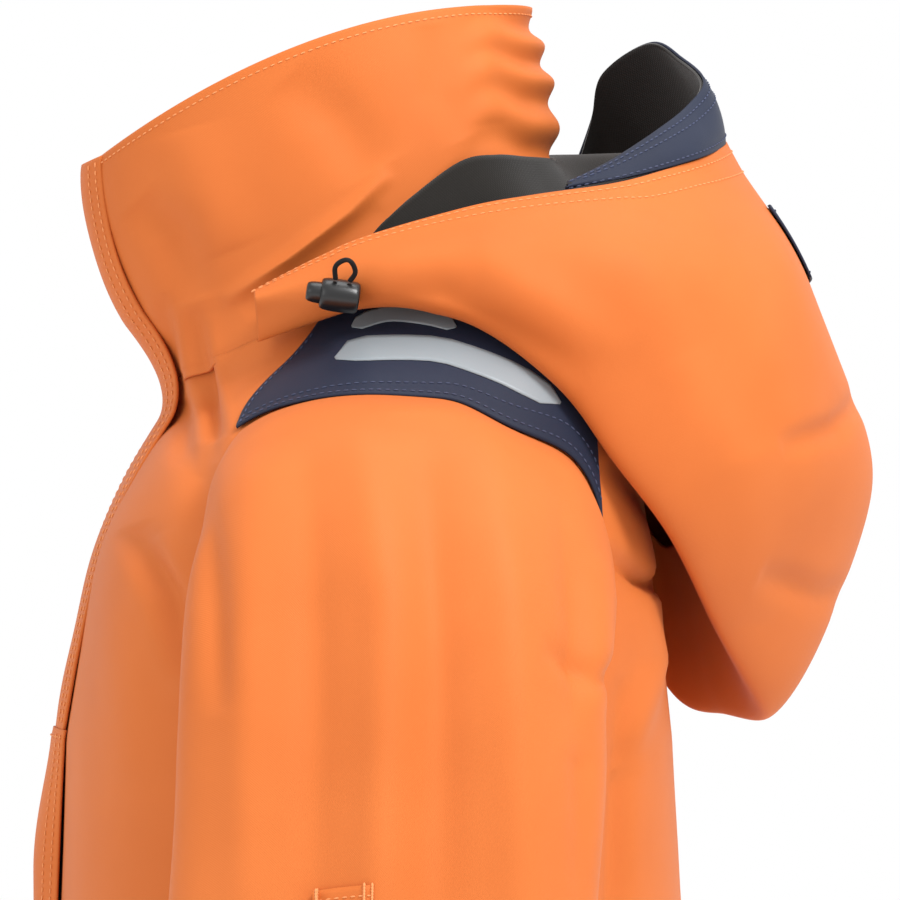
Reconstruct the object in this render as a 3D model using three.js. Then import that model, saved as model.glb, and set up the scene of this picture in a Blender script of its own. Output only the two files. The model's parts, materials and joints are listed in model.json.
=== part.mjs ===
/**
 * Foul weather jacket in its worn shape, zipped up, with the hood hanging behind the collar.
 *
 * Units are millimetres and +Z is up. The front faces -Y and the wearer's left is +X.
 * The origin is the middle of the back neck seam, where the hanger loop is sewn.
 * Fabric panels are closed sheets of even thickness over the named surfaces below:
 * trunk(), collarSkin(), sleeveSkin() and hoodSkin(). Angles around the body start at
 * the centre front and grow towards the wearer's left.
 */
import * as THREE from "three";
import { mergeVertices } from "three/addons/utils/BufferGeometryUtils.js";

// Cloth and trim
const SHELL_THICKNESS = 2.4;
const TRIM_THICKNESS = 1.6;
const TAPE_THICKNESS = 1.0;
const SEAM_GAP = 1.2;
const LAYER_GAP = 1.0;

// Body: closed sections at the neck seam, the shoulder line, the chest line and the hem
const NECK = { halfWidth: 88, front: -178, back: 0, frontHeight: -87, backHeight: 0 };
const CHEST = { halfWidth: 190, front: -240, back: 63, height: -260 };
const HEM_FLARE = 16;
const HEM = { halfWidth: CHEST.halfWidth + HEM_FLARE, front: -259, back: 73, height: -800 };
const SHOULDER_OVERHANG = 8;
const SHOULDER_HALF_WIDTH = CHEST.halfWidth + SHOULDER_OVERHANG;
const SHOULDER_SLOPE = 52.5 / 110;
const NECK_SIDE_HEIGHT = (NECK.frontHeight + NECK.backHeight) / 2;
const SHOULDER = {
  halfWidth: SHOULDER_HALF_WIDTH, front: -222, back: 45, frontHeight: -150, backHeight: -52,
  sideHeight: NECK_SIDE_HEIGHT - SHOULDER_SLOPE * (SHOULDER_HALF_WIDTH - NECK.halfWidth),
  frontFall: 1.5, backFall: 3,
};
const BODY_SQUARENESS = 2.4;
const SHOULDER_SQUARENESS = 0.86;
const PANEL_TOP_LEVEL = 0.05;
const HEM_FACING = { top: 1.935, bottom: 1.985 };

// Collar
const COLLAR_TOP = { halfWidth: 80, front: -220, back: -8, frontHeight: 25, backHeight: 103, sideRise: 20 };
const COLLAR_BULGE = 9;
const COLLAR_GRID = { columns: 26, rows: 4 };
const COLLAR_OPENING = 6;
const COLLAR_FOOT_LEVEL = 0.97;
const HANGER = { width: 9, thickness: 2, span: 60, standoff: 17, foot: 6, rise: 20, shoulderRise: 14 };

// Front opening. The zip's share on the collar is the part of its rows that lie there.
const ZIP_HALF_WIDTH = 7.4;
const ZIP_CENTRE_GAP = 0.4;
const ZIP_COLLAR_SHARE = 0.16;
const SLIDER = { width: 11, height: 17, depth: 4.5, corner: 3 };
const ZIP_CLEARANCE = 0.5;
const PULLER = { width: 8, length: 34, thickness: 1.8, eye: 3, corner: 3, clearance: 0.4 };
const ARCH = 11;
const STORM_FLAP = { halfWidth: 30, edgeLift: 3, top: 1.0, bottom: 1.985, rows: 2 };
const PLACKET = {
  halfWidth: 24, edgeLift: SHELL_THICKNESS + LAYER_GAP, top: 0.02, bottom: 0.97, collarShare: 0.42, rows: 10,
};

const PANEL_GRID = { rows: 16, upperShare: 12 / 16, frontColumns: 8, backColumns: 14 };

// Yokes and armholes, as angles around the body and levels down it
const YOKE_FRONT_ANGLE = 46;
const YOKE_BACK_ANGLE = 132;
const YOKE_OUTER_LEVEL = 0.42;
const ARMHOLE_FRONT_ANGLE = 55;
const ARMHOLE_BACK_ANGLE = 125;
const ARMHOLE_BOTTOM_LEVEL = 1.03;
const SIDE_SEAM_ANGLE = 90;
const SIDE_SEAM_HALF_GAP = 0.4;
const YOKE_SEAM_GAP = 0.8;
const YOKE_GRID = { columns: 12, rows: 7 };

// Reflective stripes on the yokes
const STRIPES = [
  { name: "upper_stripe", start: 72, end: 100, top: 0.3, bottom: 0.345 },
  { name: "lower_stripe", start: 66, end: 112, top: 0.375, bottom: 0.44 },
];
const STRIPE_POINT = 0.12;

// Sleeve: rails down its outer and inner sides, as distance out from the side of the chest,
// forward, and up from the shoulder's point
const SLEEVE_OUTER_RAIL = [
  [-10, -95, -6], [26, -96, -11], [64, -97, -35], [96, -98, -96],
  [116, -99, -224], [130, -107, -424], [136, -118, -594],
];
const SLEEVE_INNER_RAIL = [
  [9, -95, -174], [15, -96, -184], [19, -97, -204], [23, -98, -240],
  [28, -99, -304], [36, -107, -434], [48, -118, -594],
];
const SLEEVE_HALF_DEPTHS = [82, 90, 97, 102, 101, 87, 66];
const SLEEVE_ROOT_TUCK = 16;
const SLEEVE_SQUARENESS = 2.2;
const SLEEVE_GRID = { columns: 16, rows: 13 };
const CUFF = { topLevel: 0.9, topGather: 0.16, wristGather: 0.42, reach: 18 };
const CUFF_TAB = { front: -55, rear: 50, top: 0.935, bottom: 0.975 };
const SLEEVE_POCKET = { front: -18, rear: -3, top: 0.653, bottom: 0.765 };

// Hood, hanging: rails from the left front corner to the centre back, rim first. Each point is an
// angle and a level on the body, then its distance across, back and up from there.
const HOOD_RIM = [
  [60, 0.06, 8.2, -17.1, 25.8], [92, 0.02, 18.5, -10.4, 28.8],
  [128, 0.08, 25.7, 7.5, 36.5], [148, 0.14, 32, 36.1, 46.5],
  [164, 0.16, 22.2, 64.3, 54.2], [180, 0.14, 0, 77.4, 55.7],
];
const HOOD_OUTER = [
  [60, 0.08, 9.6, -16.7, 23.3], [92, 0.1, 17, -7.4, 28.6],
  [124, 0.24, 27.8, 10.3, 29.5], [146, 0.38, 38.3, 53.1, 31.4],
  [162, 0.5, 20.5, 87.2, 26], [180, 0.54, 0, 103.7, 20.9],
];
const HOOD_BELLY = [
  [60, 0.1, 6.3, -14.4, 19.8], [92, 0.14, 10.9, -5.9, 22.9],
  [122, 0.34, 18.2, 12.3, 15.5], [142, 0.58, 24.3, 45.9, 6],
  [160, 0.58, 13.8, 98.5, -56.1], [180, 0.58, 0, 119.7, -67.2],
];
const HOOD_FOLD = [
  [58, 0.1, 6.2, -9.4, 16.2], [92, 0.12, 5.4, -3.7, 10.2],
  [126, 0.4, 4, 0.9, 3], [142, 0.58, 2.3, 24.9, -32],
  [160, 0.58, -4.2, 46.5, -104.1], [180, 0.58, 0, 65.7, -150.2],
];
const HOOD_UNDER = [
  [60, 0.08, 3.6, -11.7, 15.3], [94, 0.04, 6.3, -2.1, 8.1],
  [134, 0.24, 5.1, 4, 3.2], [150, 0.52, 4.6, 15.7, 3.1],
  [164, 0.58, 0.1, 30.1, -27.9], [180, 0.58, 0, 33.7, -43.2],
];
const HOOD_GRID = { columns: 28, rows: 10, liningSetback: 3 };
const BRIM = { start: 0.27, depth: 60, endDepth: 8, seamGap: 1.5, forwardLean: 0.5, inwardLean: 0.002 };
const BRIM_GRID = { columns: 18, rows: 3 };
const REAR_TAB = { halfSpan: 0.035, top: 0.09, bottom: 0.19 };

// Cord locks. The hood's locks lie against its front corners, placed from the body as its rails are.
const LOCK = {
  radius: 8.5, length: 19, wall: 2.2, chamfer: 1.5, floor: 4,
  plungerClearance: 0.7, plungerReach: 7, travel: 4,
};
const HOOD_LOCK = { angle: 92, level: 0.14, offset: [6.4, -13.9, 16.9], slope: 0.15, loopTurn: -0.6 };
const HEM_LOCK = { angle: 66, level: 1.95 };
const CORD_RADIUS = 1.3;
const CORD_LOOP = { rootGap: 7, reach: 11, overhang: 2 };

// Pockets on the lower fronts
const POCKET = { inner: 21, outer: 52, top: 1.52, bottom: 1.9, bellows: 15, edgeSlope: 7 };
const POCKET_FLAP = { margin: 2, top: 1.48, bottom: 1.6, clearance: 0.6, headerDepth: 0.03, hingeGap: 0.004 };

const FRONT = 0;
const radians = THREE.MathUtils.degToRad;
const lerp = THREE.MathUtils.lerp;

/** Signed power, which squares up an ellipse. */
function signedPower(value, exponent) {
  return Math.sign(value) * Math.abs(value) ** exponent;
}

/** A point on a level closed section of the body. */
function section(ring, angle) {
  const power = 2 / BODY_SQUARENESS;
  const middle = (ring.front + ring.back) / 2;
  const halfDepth = (ring.back - ring.front) / 2;
  return new THREE.Vector3(
    ring.halfWidth * signedPower(Math.sin(angle), power),
    middle - halfDepth * signedPower(Math.cos(angle), power),
    ring.height,
  );
}

/** A point on a sloping closed section: the neck seam, the shoulder line or the collar's top. */
function slopingSection(ring, angle, squareness = 2) {
  const power = 2 / squareness;
  const middle = (ring.front + ring.back) / 2;
  const halfDepth = (ring.back - ring.front) / 2;
  const height = lerp(ring.backHeight, ring.frontHeight, (1 + Math.cos(angle)) / 2);
  return new THREE.Vector3(
    ring.halfWidth * signedPower(Math.sin(angle), power),
    middle - halfDepth * signedPower(Math.cos(angle), power),
    height + (ring.sideRise ?? 0) * Math.sin(angle) ** 2,
  );
}

/** The body's outer surface: level 0 is the neck seam, 1 the chest line and 2 the hem. */
function trunk(angle, level) {
  const chest = section(CHEST, angle);
  if (level >= 1) return chest.lerp(section(HEM, angle), level - 1);
  const neck = slopingSection(NECK, angle);
  const corner = slopingSection(SHOULDER, angle, BODY_SQUARENESS);
  const towardsFront = Math.cos(angle) > 0;
  const middleHeight = towardsFront ? SHOULDER.frontHeight : SHOULDER.backHeight;
  const share = Math.abs(Math.cos(angle)) ** (towardsFront ? SHOULDER.frontFall : SHOULDER.backFall);
  corner.z = lerp(SHOULDER.sideHeight, middleHeight, share);
  const leaving = neck.clone().lerp(corner, SHOULDER_SQUARENESS);
  const arriving = chest.clone().lerp(corner, SHOULDER_SQUARENESS);
  return new THREE.CubicBezierCurve3(neck, leaving, arriving, chest).getPoint(level);
}

/** The collar's outer surface: level 0 is its top edge and 1 the neck seam. */
function collarSkin(angle, level) {
  const point = slopingSection(COLLAR_TOP, angle).lerp(slopingSection(NECK, angle), level);
  const swell = COLLAR_BULGE * Math.sin(Math.PI * level) * Math.sin(angle / 2) ** 2;
  point.x += swell * Math.sin(angle);
  point.y -= swell * Math.cos(angle);
  return point;
}

/** A smooth curve through points, all moved by the same distances sideways and up. */
function rail(points, sideways = 0, up = 0) {
  const knots = points.map(([x, y, z]) => new THREE.Vector3(x + sideways, y, z + up));
  return new THREE.CatmullRomCurve3(knots, false, "centripetal");
}

/** A value part-way along evenly spaced stations. */
function alongStations(values, share) {
  const place = THREE.MathUtils.clamp(share, 0, 1) * (values.length - 1);
  const index = Math.min(Math.floor(place), values.length - 2);
  return lerp(values[index], values[index + 1], place - index);
}

const outerRail = rail(SLEEVE_OUTER_RAIL, CHEST.halfWidth, SHOULDER.sideHeight);
const innerRail = rail(SLEEVE_INNER_RAIL, CHEST.halfWidth, SHOULDER.sideHeight);

/** The left sleeve's outer surface: turn 0 is its outer side and grows backwards; level 0 is the armhole. */
function sleeveSkin(turn, level) {
  const power = 2 / SLEEVE_SQUARENESS;
  const outer = outerRail.getPoint(level);
  const inner = innerRail.getPoint(level);
  const across = signedPower(Math.cos(turn), power);
  const point = outer.clone().add(inner).multiplyScalar(0.5);
  point.addScaledVector(outer.clone().sub(inner), across / 2);
  point.y += alongStations(SLEEVE_HALF_DEPTHS, level) * signedPower(Math.sin(turn), power);
  const tuck = Math.max(0, 1 - level * 7);
  point.x -= SLEEVE_ROOT_TUCK * tuck * Math.sin(turn) ** 2;
  return point;
}

/** A hood rail from corner to corner, from the points of its left half. */
function hoodRail(points) {
  const left = points.map(([angle, level, ...offset]) => (
    trunk(radians(angle), level).add(new THREE.Vector3(...offset)).toArray()
  ));
  const right = left.slice(0, -1).reverse().map(([x, y, z]) => [-x, y, z]);
  return rail([...left, ...right]);
}

const hoodRails = [HOOD_RIM, HOOD_OUTER, HOOD_BELLY, HOOD_FOLD, HOOD_UNDER].map(hoodRail);

/** The hood's outer surface: across 0 is the left front corner, 0.5 the centre back and 1 the right
 * front corner; down 0 is the rim and 1 the end of the underside beside the back. */
function hoodSkin(across, down) {
  const profile = hoodRails.map((curve) => curve.getPoint(across));
  return new THREE.CatmullRomCurve3(profile, false, "centripetal").getPoint(down);
}

/** The direction in which a surface faces; its columns run with u and its rows down with v. */
function facing(surface, u, v) {
  const step = 1e-3;
  const u0 = Math.max(0, u - step);
  const u1 = Math.min(1, u + step);
  const v0 = Math.max(0, v - step);
  const v1 = Math.min(1, v + step);
  const sideways = surface(u1, v).sub(surface(u0, v));
  const downwards = surface(u, v1).sub(surface(u, v0));
  return downwards.cross(sideways).normalize();
}

/** Turns points and triangles into geometry whose faces point out. */
function solid(points, triangles) {
  let volume = 0;
  for (const [a, b, c] of triangles) {
    volume += points[a].dot(points[b].clone().cross(points[c]));
  }
  const facingOut = volume > 0 ? triangles : triangles.map(([a, b, c]) => [a, c, b]);
  const geometry = new THREE.BufferGeometry();
  geometry.setAttribute("position", new THREE.Float32BufferAttribute(points.flatMap((p) => p.toArray()), 3));
  geometry.setIndex(facingOut.flat());
  geometry.computeVertexNormals();
  return geometry;
}

/**
 * A closed sheet over surface(u, v), with u and v from 0 to 1.
 * lift moves its outer face off the surface and may be a function of u and v;
 * around closes it into a tube along u.
 */
function sheet(surface, { columns, rows, thickness = SHELL_THICKNESS, lift = 0, around = false }) {
  const points = [];
  const columnCount = around ? columns : columns + 1;
  const liftAt = typeof lift === "function" ? lift : () => lift;
  for (const depth of [0, thickness]) {
    for (let row = 0; row <= rows; row += 1) {
      for (let column = 0; column < columnCount; column += 1) {
        const u = column / columns;
        const v = row / rows;
        const normal = facing(surface, u, v);
        points.push(surface(u, v).addScaledVector(normal, liftAt(u, v) - depth));
      }
    }
  }
  const layer = columnCount * (rows + 1);
  const at = (side, column, row) => side * layer + row * columnCount + (column % columnCount);
  const triangles = [];
  const quad = (a, b, c, d) => triangles.push([a, b, c], [a, c, d]);
  for (let row = 0; row < rows; row += 1) {
    for (let column = 0; column < columns; column += 1) {
      quad(at(0, column, row), at(0, column, row + 1), at(0, column + 1, row + 1), at(0, column + 1, row));
      quad(at(1, column, row), at(1, column + 1, row), at(1, column + 1, row + 1), at(1, column, row + 1));
    }
  }
  for (let column = 0; column < columns; column += 1) {
    quad(at(0, column, 0), at(0, column + 1, 0), at(1, column + 1, 0), at(1, column, 0));
    quad(at(0, column, rows), at(1, column, rows), at(1, column + 1, rows), at(0, column + 1, rows));
  }
  for (let row = 0; row < rows && !around; row += 1) {
    quad(at(0, 0, row), at(1, 0, row), at(1, 0, row + 1), at(0, 0, row + 1));
    quad(at(0, columns, row), at(0, columns, row + 1), at(1, columns, row + 1), at(1, columns, row));
  }
  return solid(points, triangles);
}

/** The same geometry on the wearer's other side. */
function mirrored(geometry) {
  const copy = geometry.clone();
  copy.scale(-1, 1, 1);
  const index = copy.getIndex();
  for (let i = 0; i < index.count; i += 3) {
    const second = index.getX(i + 1);
    index.setX(i + 1, index.getX(i + 2));
    index.setX(i + 2, second);
  }
  copy.computeVertexNormals();
  return copy;
}

/** Spends most rows above the chest line, because the body is straight below it. */
function panelLevel(topLevel, bottomLevel, v) {
  const turn = ARMHOLE_BOTTOM_LEVEL + 0.02;
  if (topLevel > turn || bottomLevel < turn) return lerp(topLevel, bottomLevel, v);
  return v < PANEL_GRID.upperShare
    ? lerp(topLevel, turn, v / PANEL_GRID.upperShare)
    : lerp(turn, bottomLevel, (v - PANEL_GRID.upperShare) / (1 - PANEL_GRID.upperShare));
}

/** A patch of the body between two angles in degrees and two levels; the angles may vary with level. */
function bodyPatch(startAngle, endAngle, topLevel, bottomLevel) {
  return (u, v) => {
    const level = panelLevel(topLevel, bottomLevel, v);
    const start = typeof startAngle === "function" ? startAngle(level) : startAngle;
    const end = typeof endAngle === "function" ? endAngle(level) : endAngle;
    return trunk(radians(lerp(start, end, u)), level);
  };
}

const fabric = (color) => new THREE.MeshStandardMaterial({ color, roughness: 0.75, metalness: 0 });
const ORANGE = fabric(0xf49a55);
const NAVY = fabric(0x23283a);
const BLACK_FLEECE = fabric(0x1b1917);
const SILVER = new THREE.MeshStandardMaterial({ color: 0xa2a9ab, roughness: 0.4, metalness: 0.1 });
const BLACK_PLASTIC = new THREE.MeshStandardMaterial({ color: 0x141414, roughness: 0.35, metalness: 0 });

const jacket = new THREE.Group();

function add(name, geometry, material, parent = jacket) {
  const mesh = new THREE.Mesh(geometry, material);
  mesh.name = name;
  parent.add(mesh);
  return mesh;
}

/** Adds a piece on the wearer's left and its mirror image on the right. */
function addPair(name, geometry, material) {
  add(`left_${name}`, geometry, material);
  add(`right_${name}`, mirrored(geometry), material);
}

/** The angle in degrees at which the body is a given distance to the left of its front line. */
function angleAtDistance(distance, level) {
  const width = level >= 1 ? lerp(CHEST.halfWidth, HEM.halfWidth, level - 1)
    : trunk(Math.PI / 2, level).x;
  const power = level >= 1 ? BODY_SQUARENESS / 2 : lerp(1, BODY_SQUARENESS / 2, level);
  return THREE.MathUtils.radToDeg(Math.asin((distance / width) ** power));
}

/** How far an armhole edge has swung from its own angle to the side seam, from 0 to 1. */
function armholeSwing(level) {
  const depth = ARMHOLE_BOTTOM_LEVEL - YOKE_OUTER_LEVEL;
  return THREE.MathUtils.clamp((level - YOKE_OUTER_LEVEL) / depth, 0, 1) ** 4;
}

/** The angle of the seam beside a yoke, from its neck end to its armhole end. */
function yokeSeam(neckAngle, armholeAngle, level) {
  return lerp(neckAngle, armholeAngle, THREE.MathUtils.smoothstep(level, 0, YOKE_OUTER_LEVEL));
}

const frontYokeSeam = (level) => yokeSeam(YOKE_FRONT_ANGLE, ARMHOLE_FRONT_ANGLE, level);
const backYokeSeam = (level) => yokeSeam(YOKE_BACK_ANGLE, ARMHOLE_BACK_ANGLE, level);

function frontPanels() {
  const frontEdge = (level) => angleAtDistance(ZIP_HALF_WIDTH + SEAM_GAP, level);
  const sideSeam = SIDE_SEAM_ANGLE - SIDE_SEAM_HALF_GAP;
  const rearEdge = (level) => lerp(frontYokeSeam(level), sideSeam, armholeSwing(level));
  const surface = bodyPatch(frontEdge, rearEdge, PANEL_TOP_LEVEL, 2);
  addPair("front_panel", sheet(surface, { columns: PANEL_GRID.frontColumns, rows: PANEL_GRID.rows }), ORANGE);
}

function backPanel() {
  const sideSeam = SIDE_SEAM_ANGLE + SIDE_SEAM_HALF_GAP;
  const leftEdge = (level) => lerp(backYokeSeam(level), sideSeam, armholeSwing(level));
  const rightEdge = (level) => 360 - leftEdge(level);
  const surface = bodyPatch(leftEdge, rightEdge, PANEL_TOP_LEVEL, 2);
  add("back_panel", sheet(surface, { columns: PANEL_GRID.backColumns, rows: PANEL_GRID.rows }), ORANGE);
}

function yokes() {
  const start = (level) => frontYokeSeam(level) + YOKE_SEAM_GAP;
  const end = (level) => backYokeSeam(level) - YOKE_SEAM_GAP;
  addPair("yoke", sheet(bodyPatch(start, end, PANEL_TOP_LEVEL, YOKE_OUTER_LEVEL), YOKE_GRID), NAVY);
}

/** Reflective stripes bonded on the yokes, with pointed ends. */
function stripes() {
  for (const { name, start, end, top, bottom } of STRIPES) {
    const middle = (top + bottom) / 2;
    const surface = (u, v) => {
      const fullness = Math.min(1, STRIPE_POINT + Math.min(u, 1 - u) * 9);
      return trunk(radians(lerp(start, end, u)), lerp(middle, lerp(top, bottom, v), fullness));
    };
    const lift = LAYER_GAP + TAPE_THICKNESS;
    addPair(name, sheet(surface, { columns: 14, rows: 1, thickness: TAPE_THICKNESS, lift }), SILVER);
  }
}

function collar() {
  const surface = (u, v) => collarSkin(
    radians(lerp(COLLAR_OPENING, 360 - COLLAR_OPENING, u)), lerp(0, COLLAR_FOOT_LEVEL, v),
  );
  add("collar_shell", sheet(surface, COLLAR_GRID), ORANGE);
  const lift = -SHELL_THICKNESS - LAYER_GAP;
  add("collar_lining", sheet(surface, { ...COLLAR_GRID, thickness: TRIM_THICKNESS, lift }), BLACK_FLEECE);
}

/** A strip down the front opening, from one distance to another left of the centre line. */
function frontStrip(from, to, surfaceAt) {
  return (u, v) => {
    const distance = lerp(from, to, u);
    const point = surfaceAt(v);
    point.x = distance;
    return point;
  };
}

const frontLine = (level) => trunk(FRONT, level);
const collarFrontLine = (level) => collarSkin(FRONT, level);

function zip() {
  const wholeFront = (v) => (v < ZIP_COLLAR_SHARE
    ? collarFrontLine(v / ZIP_COLLAR_SHARE)
    : frontLine((v - ZIP_COLLAR_SHARE) / (1 - ZIP_COLLAR_SHARE) * 2));
  const surface = frontStrip(ZIP_CENTRE_GAP, ZIP_HALF_WIDTH, wholeFront);
  addPair("zip_tape", sheet(surface, { columns: 1, rows: 36, thickness: TRIM_THICKNESS }), BLACK_PLASTIC);
}

/** A cover over the zip, arched to clear the sliders, along a line from its top to its bottom. */
function zipCover(name, { halfWidth, edgeLift, rows }, line) {
  const lift = (u) => edgeLift + ARCH * Math.max(0, Math.sin(Math.PI * u)) ** 0.5;
  add(name, sheet(frontStrip(-halfWidth, halfWidth, line), { columns: 8, rows, lift }), ORANGE);
}

/** The storm flap, which folds open to the wearer's left, and the fixed placket above it. */
function stormFlap() {
  zipCover("storm_flap", STORM_FLAP, (v) => frontLine(lerp(STORM_FLAP.top, STORM_FLAP.bottom, v)));
  const { top, bottom, collarShare } = PLACKET;
  zipCover("collar_placket", PLACKET, (v) => (v < collarShare
    ? collarFrontLine(lerp(top, 1, v / collarShare))
    : frontLine(bottom * (v - collarShare) / (1 - collarShare))));
}

function sleeves() {
  const whole = (u, v) => sleeveSkin(u * 2 * Math.PI, v);
  addPair("sleeve", sheet(whole, { ...SLEEVE_GRID, around: true }), ORANGE);
}

/** A soft inner cuff, gathered from inside the sleeve's end down to the wrist. */
function innerCuffs() {
  const gathered = (u, v) => {
    const level = lerp(CUFF.topLevel, 1, v);
    const middle = outerRail.getPoint(level).add(innerRail.getPoint(level)).multiplyScalar(0.5);
    const point = sleeveSkin(u * 2 * Math.PI, level).lerp(middle, lerp(CUFF.topGather, CUFF.wristGather, v));
    point.z -= CUFF.reach * v;
    return point;
  };
  addPair("inner_cuff", sheet(gathered, { columns: 16, rows: 3, around: true }), BLACK_FLEECE);
}

/** A patch of the left sleeve between two turns in degrees and two levels. */
function sleevePatch(startTurn, endTurn, topLevel, bottomLevel) {
  return (u, v) => sleeveSkin(radians(lerp(startTurn, endTurn, u)), lerp(topLevel, bottomLevel, v));
}

/** The strap that tightens the sleeve's end. It opens from its rear end. */
function cuffTabs() {
  const surface = sleevePatch(CUFF_TAB.front, CUFF_TAB.rear, CUFF_TAB.top, CUFF_TAB.bottom);
  addPair("cuff_tab", sheet(surface, {
    columns: 6, rows: 1, thickness: TRIM_THICKNESS, lift: 2 * LAYER_GAP + TRIM_THICKNESS,
  }), NAVY);
}

function sleevePocket() {
  const { front, rear, top, bottom } = SLEEVE_POCKET;
  const surface = sleevePatch(front, rear, top, bottom);
  add("left_sleeve_pocket", sheet(surface, {
    columns: 2, rows: 3, thickness: TRIM_THICKNESS, lift: 2 * LAYER_GAP + TRIM_THICKNESS,
  }), ORANGE);
}

/** A facing strip inside the hem, which holds the drawcord. */
function hemFacing() {
  const opening = angleAtDistance(ZIP_HALF_WIDTH + SEAM_GAP, 2);
  const surface = bodyPatch(opening, 360 - opening, HEM_FACING.top, HEM_FACING.bottom);
  add("hem_facing", sheet(surface, {
    columns: 32, rows: 1, thickness: TRIM_THICKNESS, lift: -SHELL_THICKNESS - 2 * LAYER_GAP,
  }), ORANGE);
}

/** A patch of the left front beside the pocket, between two levels. */
function pocketPatch(margin, top, bottom) {
  const start = POCKET.inner - margin;
  const end = POCKET.outer + margin;
  return (u, v) => trunk(radians(lerp(start, end, u)), lerp(top, bottom, v));
}

const POCKET_SEAT = LAYER_GAP + SHELL_THICKNESS;
const POCKET_FLAP_LIFT = POCKET.bellows + SHELL_THICKNESS + POCKET_FLAP.clearance;

/** Bellows pockets on the lower fronts, open along their tops under a flap. */
function pockets() {
  const fullness = (u, v) => Math.min(1, POCKET.edgeSlope * Math.min(u, 1 - u, 1 - v));
  const lift = (u, v) => POCKET_SEAT + POCKET.bellows * fullness(u, v);
  const front = pocketPatch(0, POCKET.top, POCKET.bottom);
  addPair("pocket", sheet(front, { columns: 7, rows: 7, lift }), ORANGE);
  const flap = pocketPatch(POCKET_FLAP.margin, POCKET_FLAP.top, POCKET_FLAP.bottom);
  addPair("pocket_flap", sheet(flap, { columns: 7, rows: 1, lift: POCKET_SEAT + POCKET_FLAP_LIFT }), ORANGE);
}

/** The strip along the top of each pocket from which its flap hangs. */
function pocketHeaders() {
  const { margin, top, headerDepth, hingeGap } = POCKET_FLAP;
  const lift = (u, v) => POCKET_SEAT + POCKET_FLAP_LIFT * v;
  addPair("pocket_header", sheet(pocketPatch(margin, top - headerDepth, top - hingeGap), {
    columns: 7, rows: 1, lift,
  }), ORANGE);
}

function hood() {
  add("hood_shell", sheet(hoodSkin, { columns: HOOD_GRID.columns, rows: HOOD_GRID.rows }), ORANGE);
  const columns = HOOD_GRID.columns - 2 * HOOD_GRID.liningSetback;
  const setback = HOOD_GRID.liningSetback / HOOD_GRID.columns;
  const lining = (u, v) => hoodSkin(lerp(setback, 1 - setback, u), v);
  add("hood_lining", sheet(lining, {
    columns, rows: HOOD_GRID.rows, thickness: TRIM_THICKNESS, lift: -SHELL_THICKNESS - 2 * LAYER_GAP,
  }), BLACK_FLEECE);
}

/** The stiff peak along the middle of the hood's rim: a navy face, a stiffener and a black lining. */
function brim() {
  const surface = (u, v) => {
    const across = lerp(BRIM.start, 1 - BRIM.start, u);
    const base = hoodRails[0].getPoint(across);
    const direction = new THREE.Vector3(-base.x * BRIM.inwardLean, -BRIM.forwardLean, 1).normalize();
    const height = BRIM.endDepth + (BRIM.depth - BRIM.endDepth) * Math.sin(Math.PI * u) ** 0.8;
    const reach = lerp(height, BRIM.seamGap, v);
    return base.addScaledVector(direction, reach);
  };
  add("hood_brim", sheet(surface, { ...BRIM_GRID, thickness: TRIM_THICKNESS }), NAVY);
  const stiffenerLift = -TRIM_THICKNESS - LAYER_GAP;
  const setback = 1 / BRIM_GRID.columns;
  const inset = (u, v) => surface(lerp(setback, 1 - setback, u), v);
  add("brim_stiffener", sheet(inset, {
    columns: BRIM_GRID.columns - 2, rows: BRIM_GRID.rows, thickness: TAPE_THICKNESS, lift: stiffenerLift,
  }), BLACK_PLASTIC);
  add("brim_lining", sheet(surface, {
    ...BRIM_GRID, thickness: TAPE_THICKNESS, lift: stiffenerLift - TAPE_THICKNESS - LAYER_GAP,
  }), BLACK_FLEECE);
}

/** The strap on the back of the hood that takes up its volume. */
function hoodRearTab() {
  const surface = (u, v) => hoodSkin(
    lerp(0.5 - REAR_TAB.halfSpan, 0.5 + REAR_TAB.halfSpan, u), lerp(REAR_TAB.top, REAR_TAB.bottom, v),
  );
  add("hood_rear_tab", sheet(surface, {
    columns: 4, rows: 3, thickness: TRIM_THICKNESS, lift: 2 * LAYER_GAP + TRIM_THICKNESS,
  }), NAVY);
}

/** A turned piece about its own +Z axis, from radius and height pairs that start and end on one ring. */
function turned(profile, segments = 12) {
  const outline = [...profile, profile[0]].map(([radius, height]) => new THREE.Vector2(radius, height));
  const lathe = new THREE.LatheGeometry(outline, segments);
  lathe.rotateX(Math.PI / 2);
  lathe.deleteAttribute("uv");
  lathe.deleteAttribute("normal");
  return mergeVertices(lathe, 1e-4);
}

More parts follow.
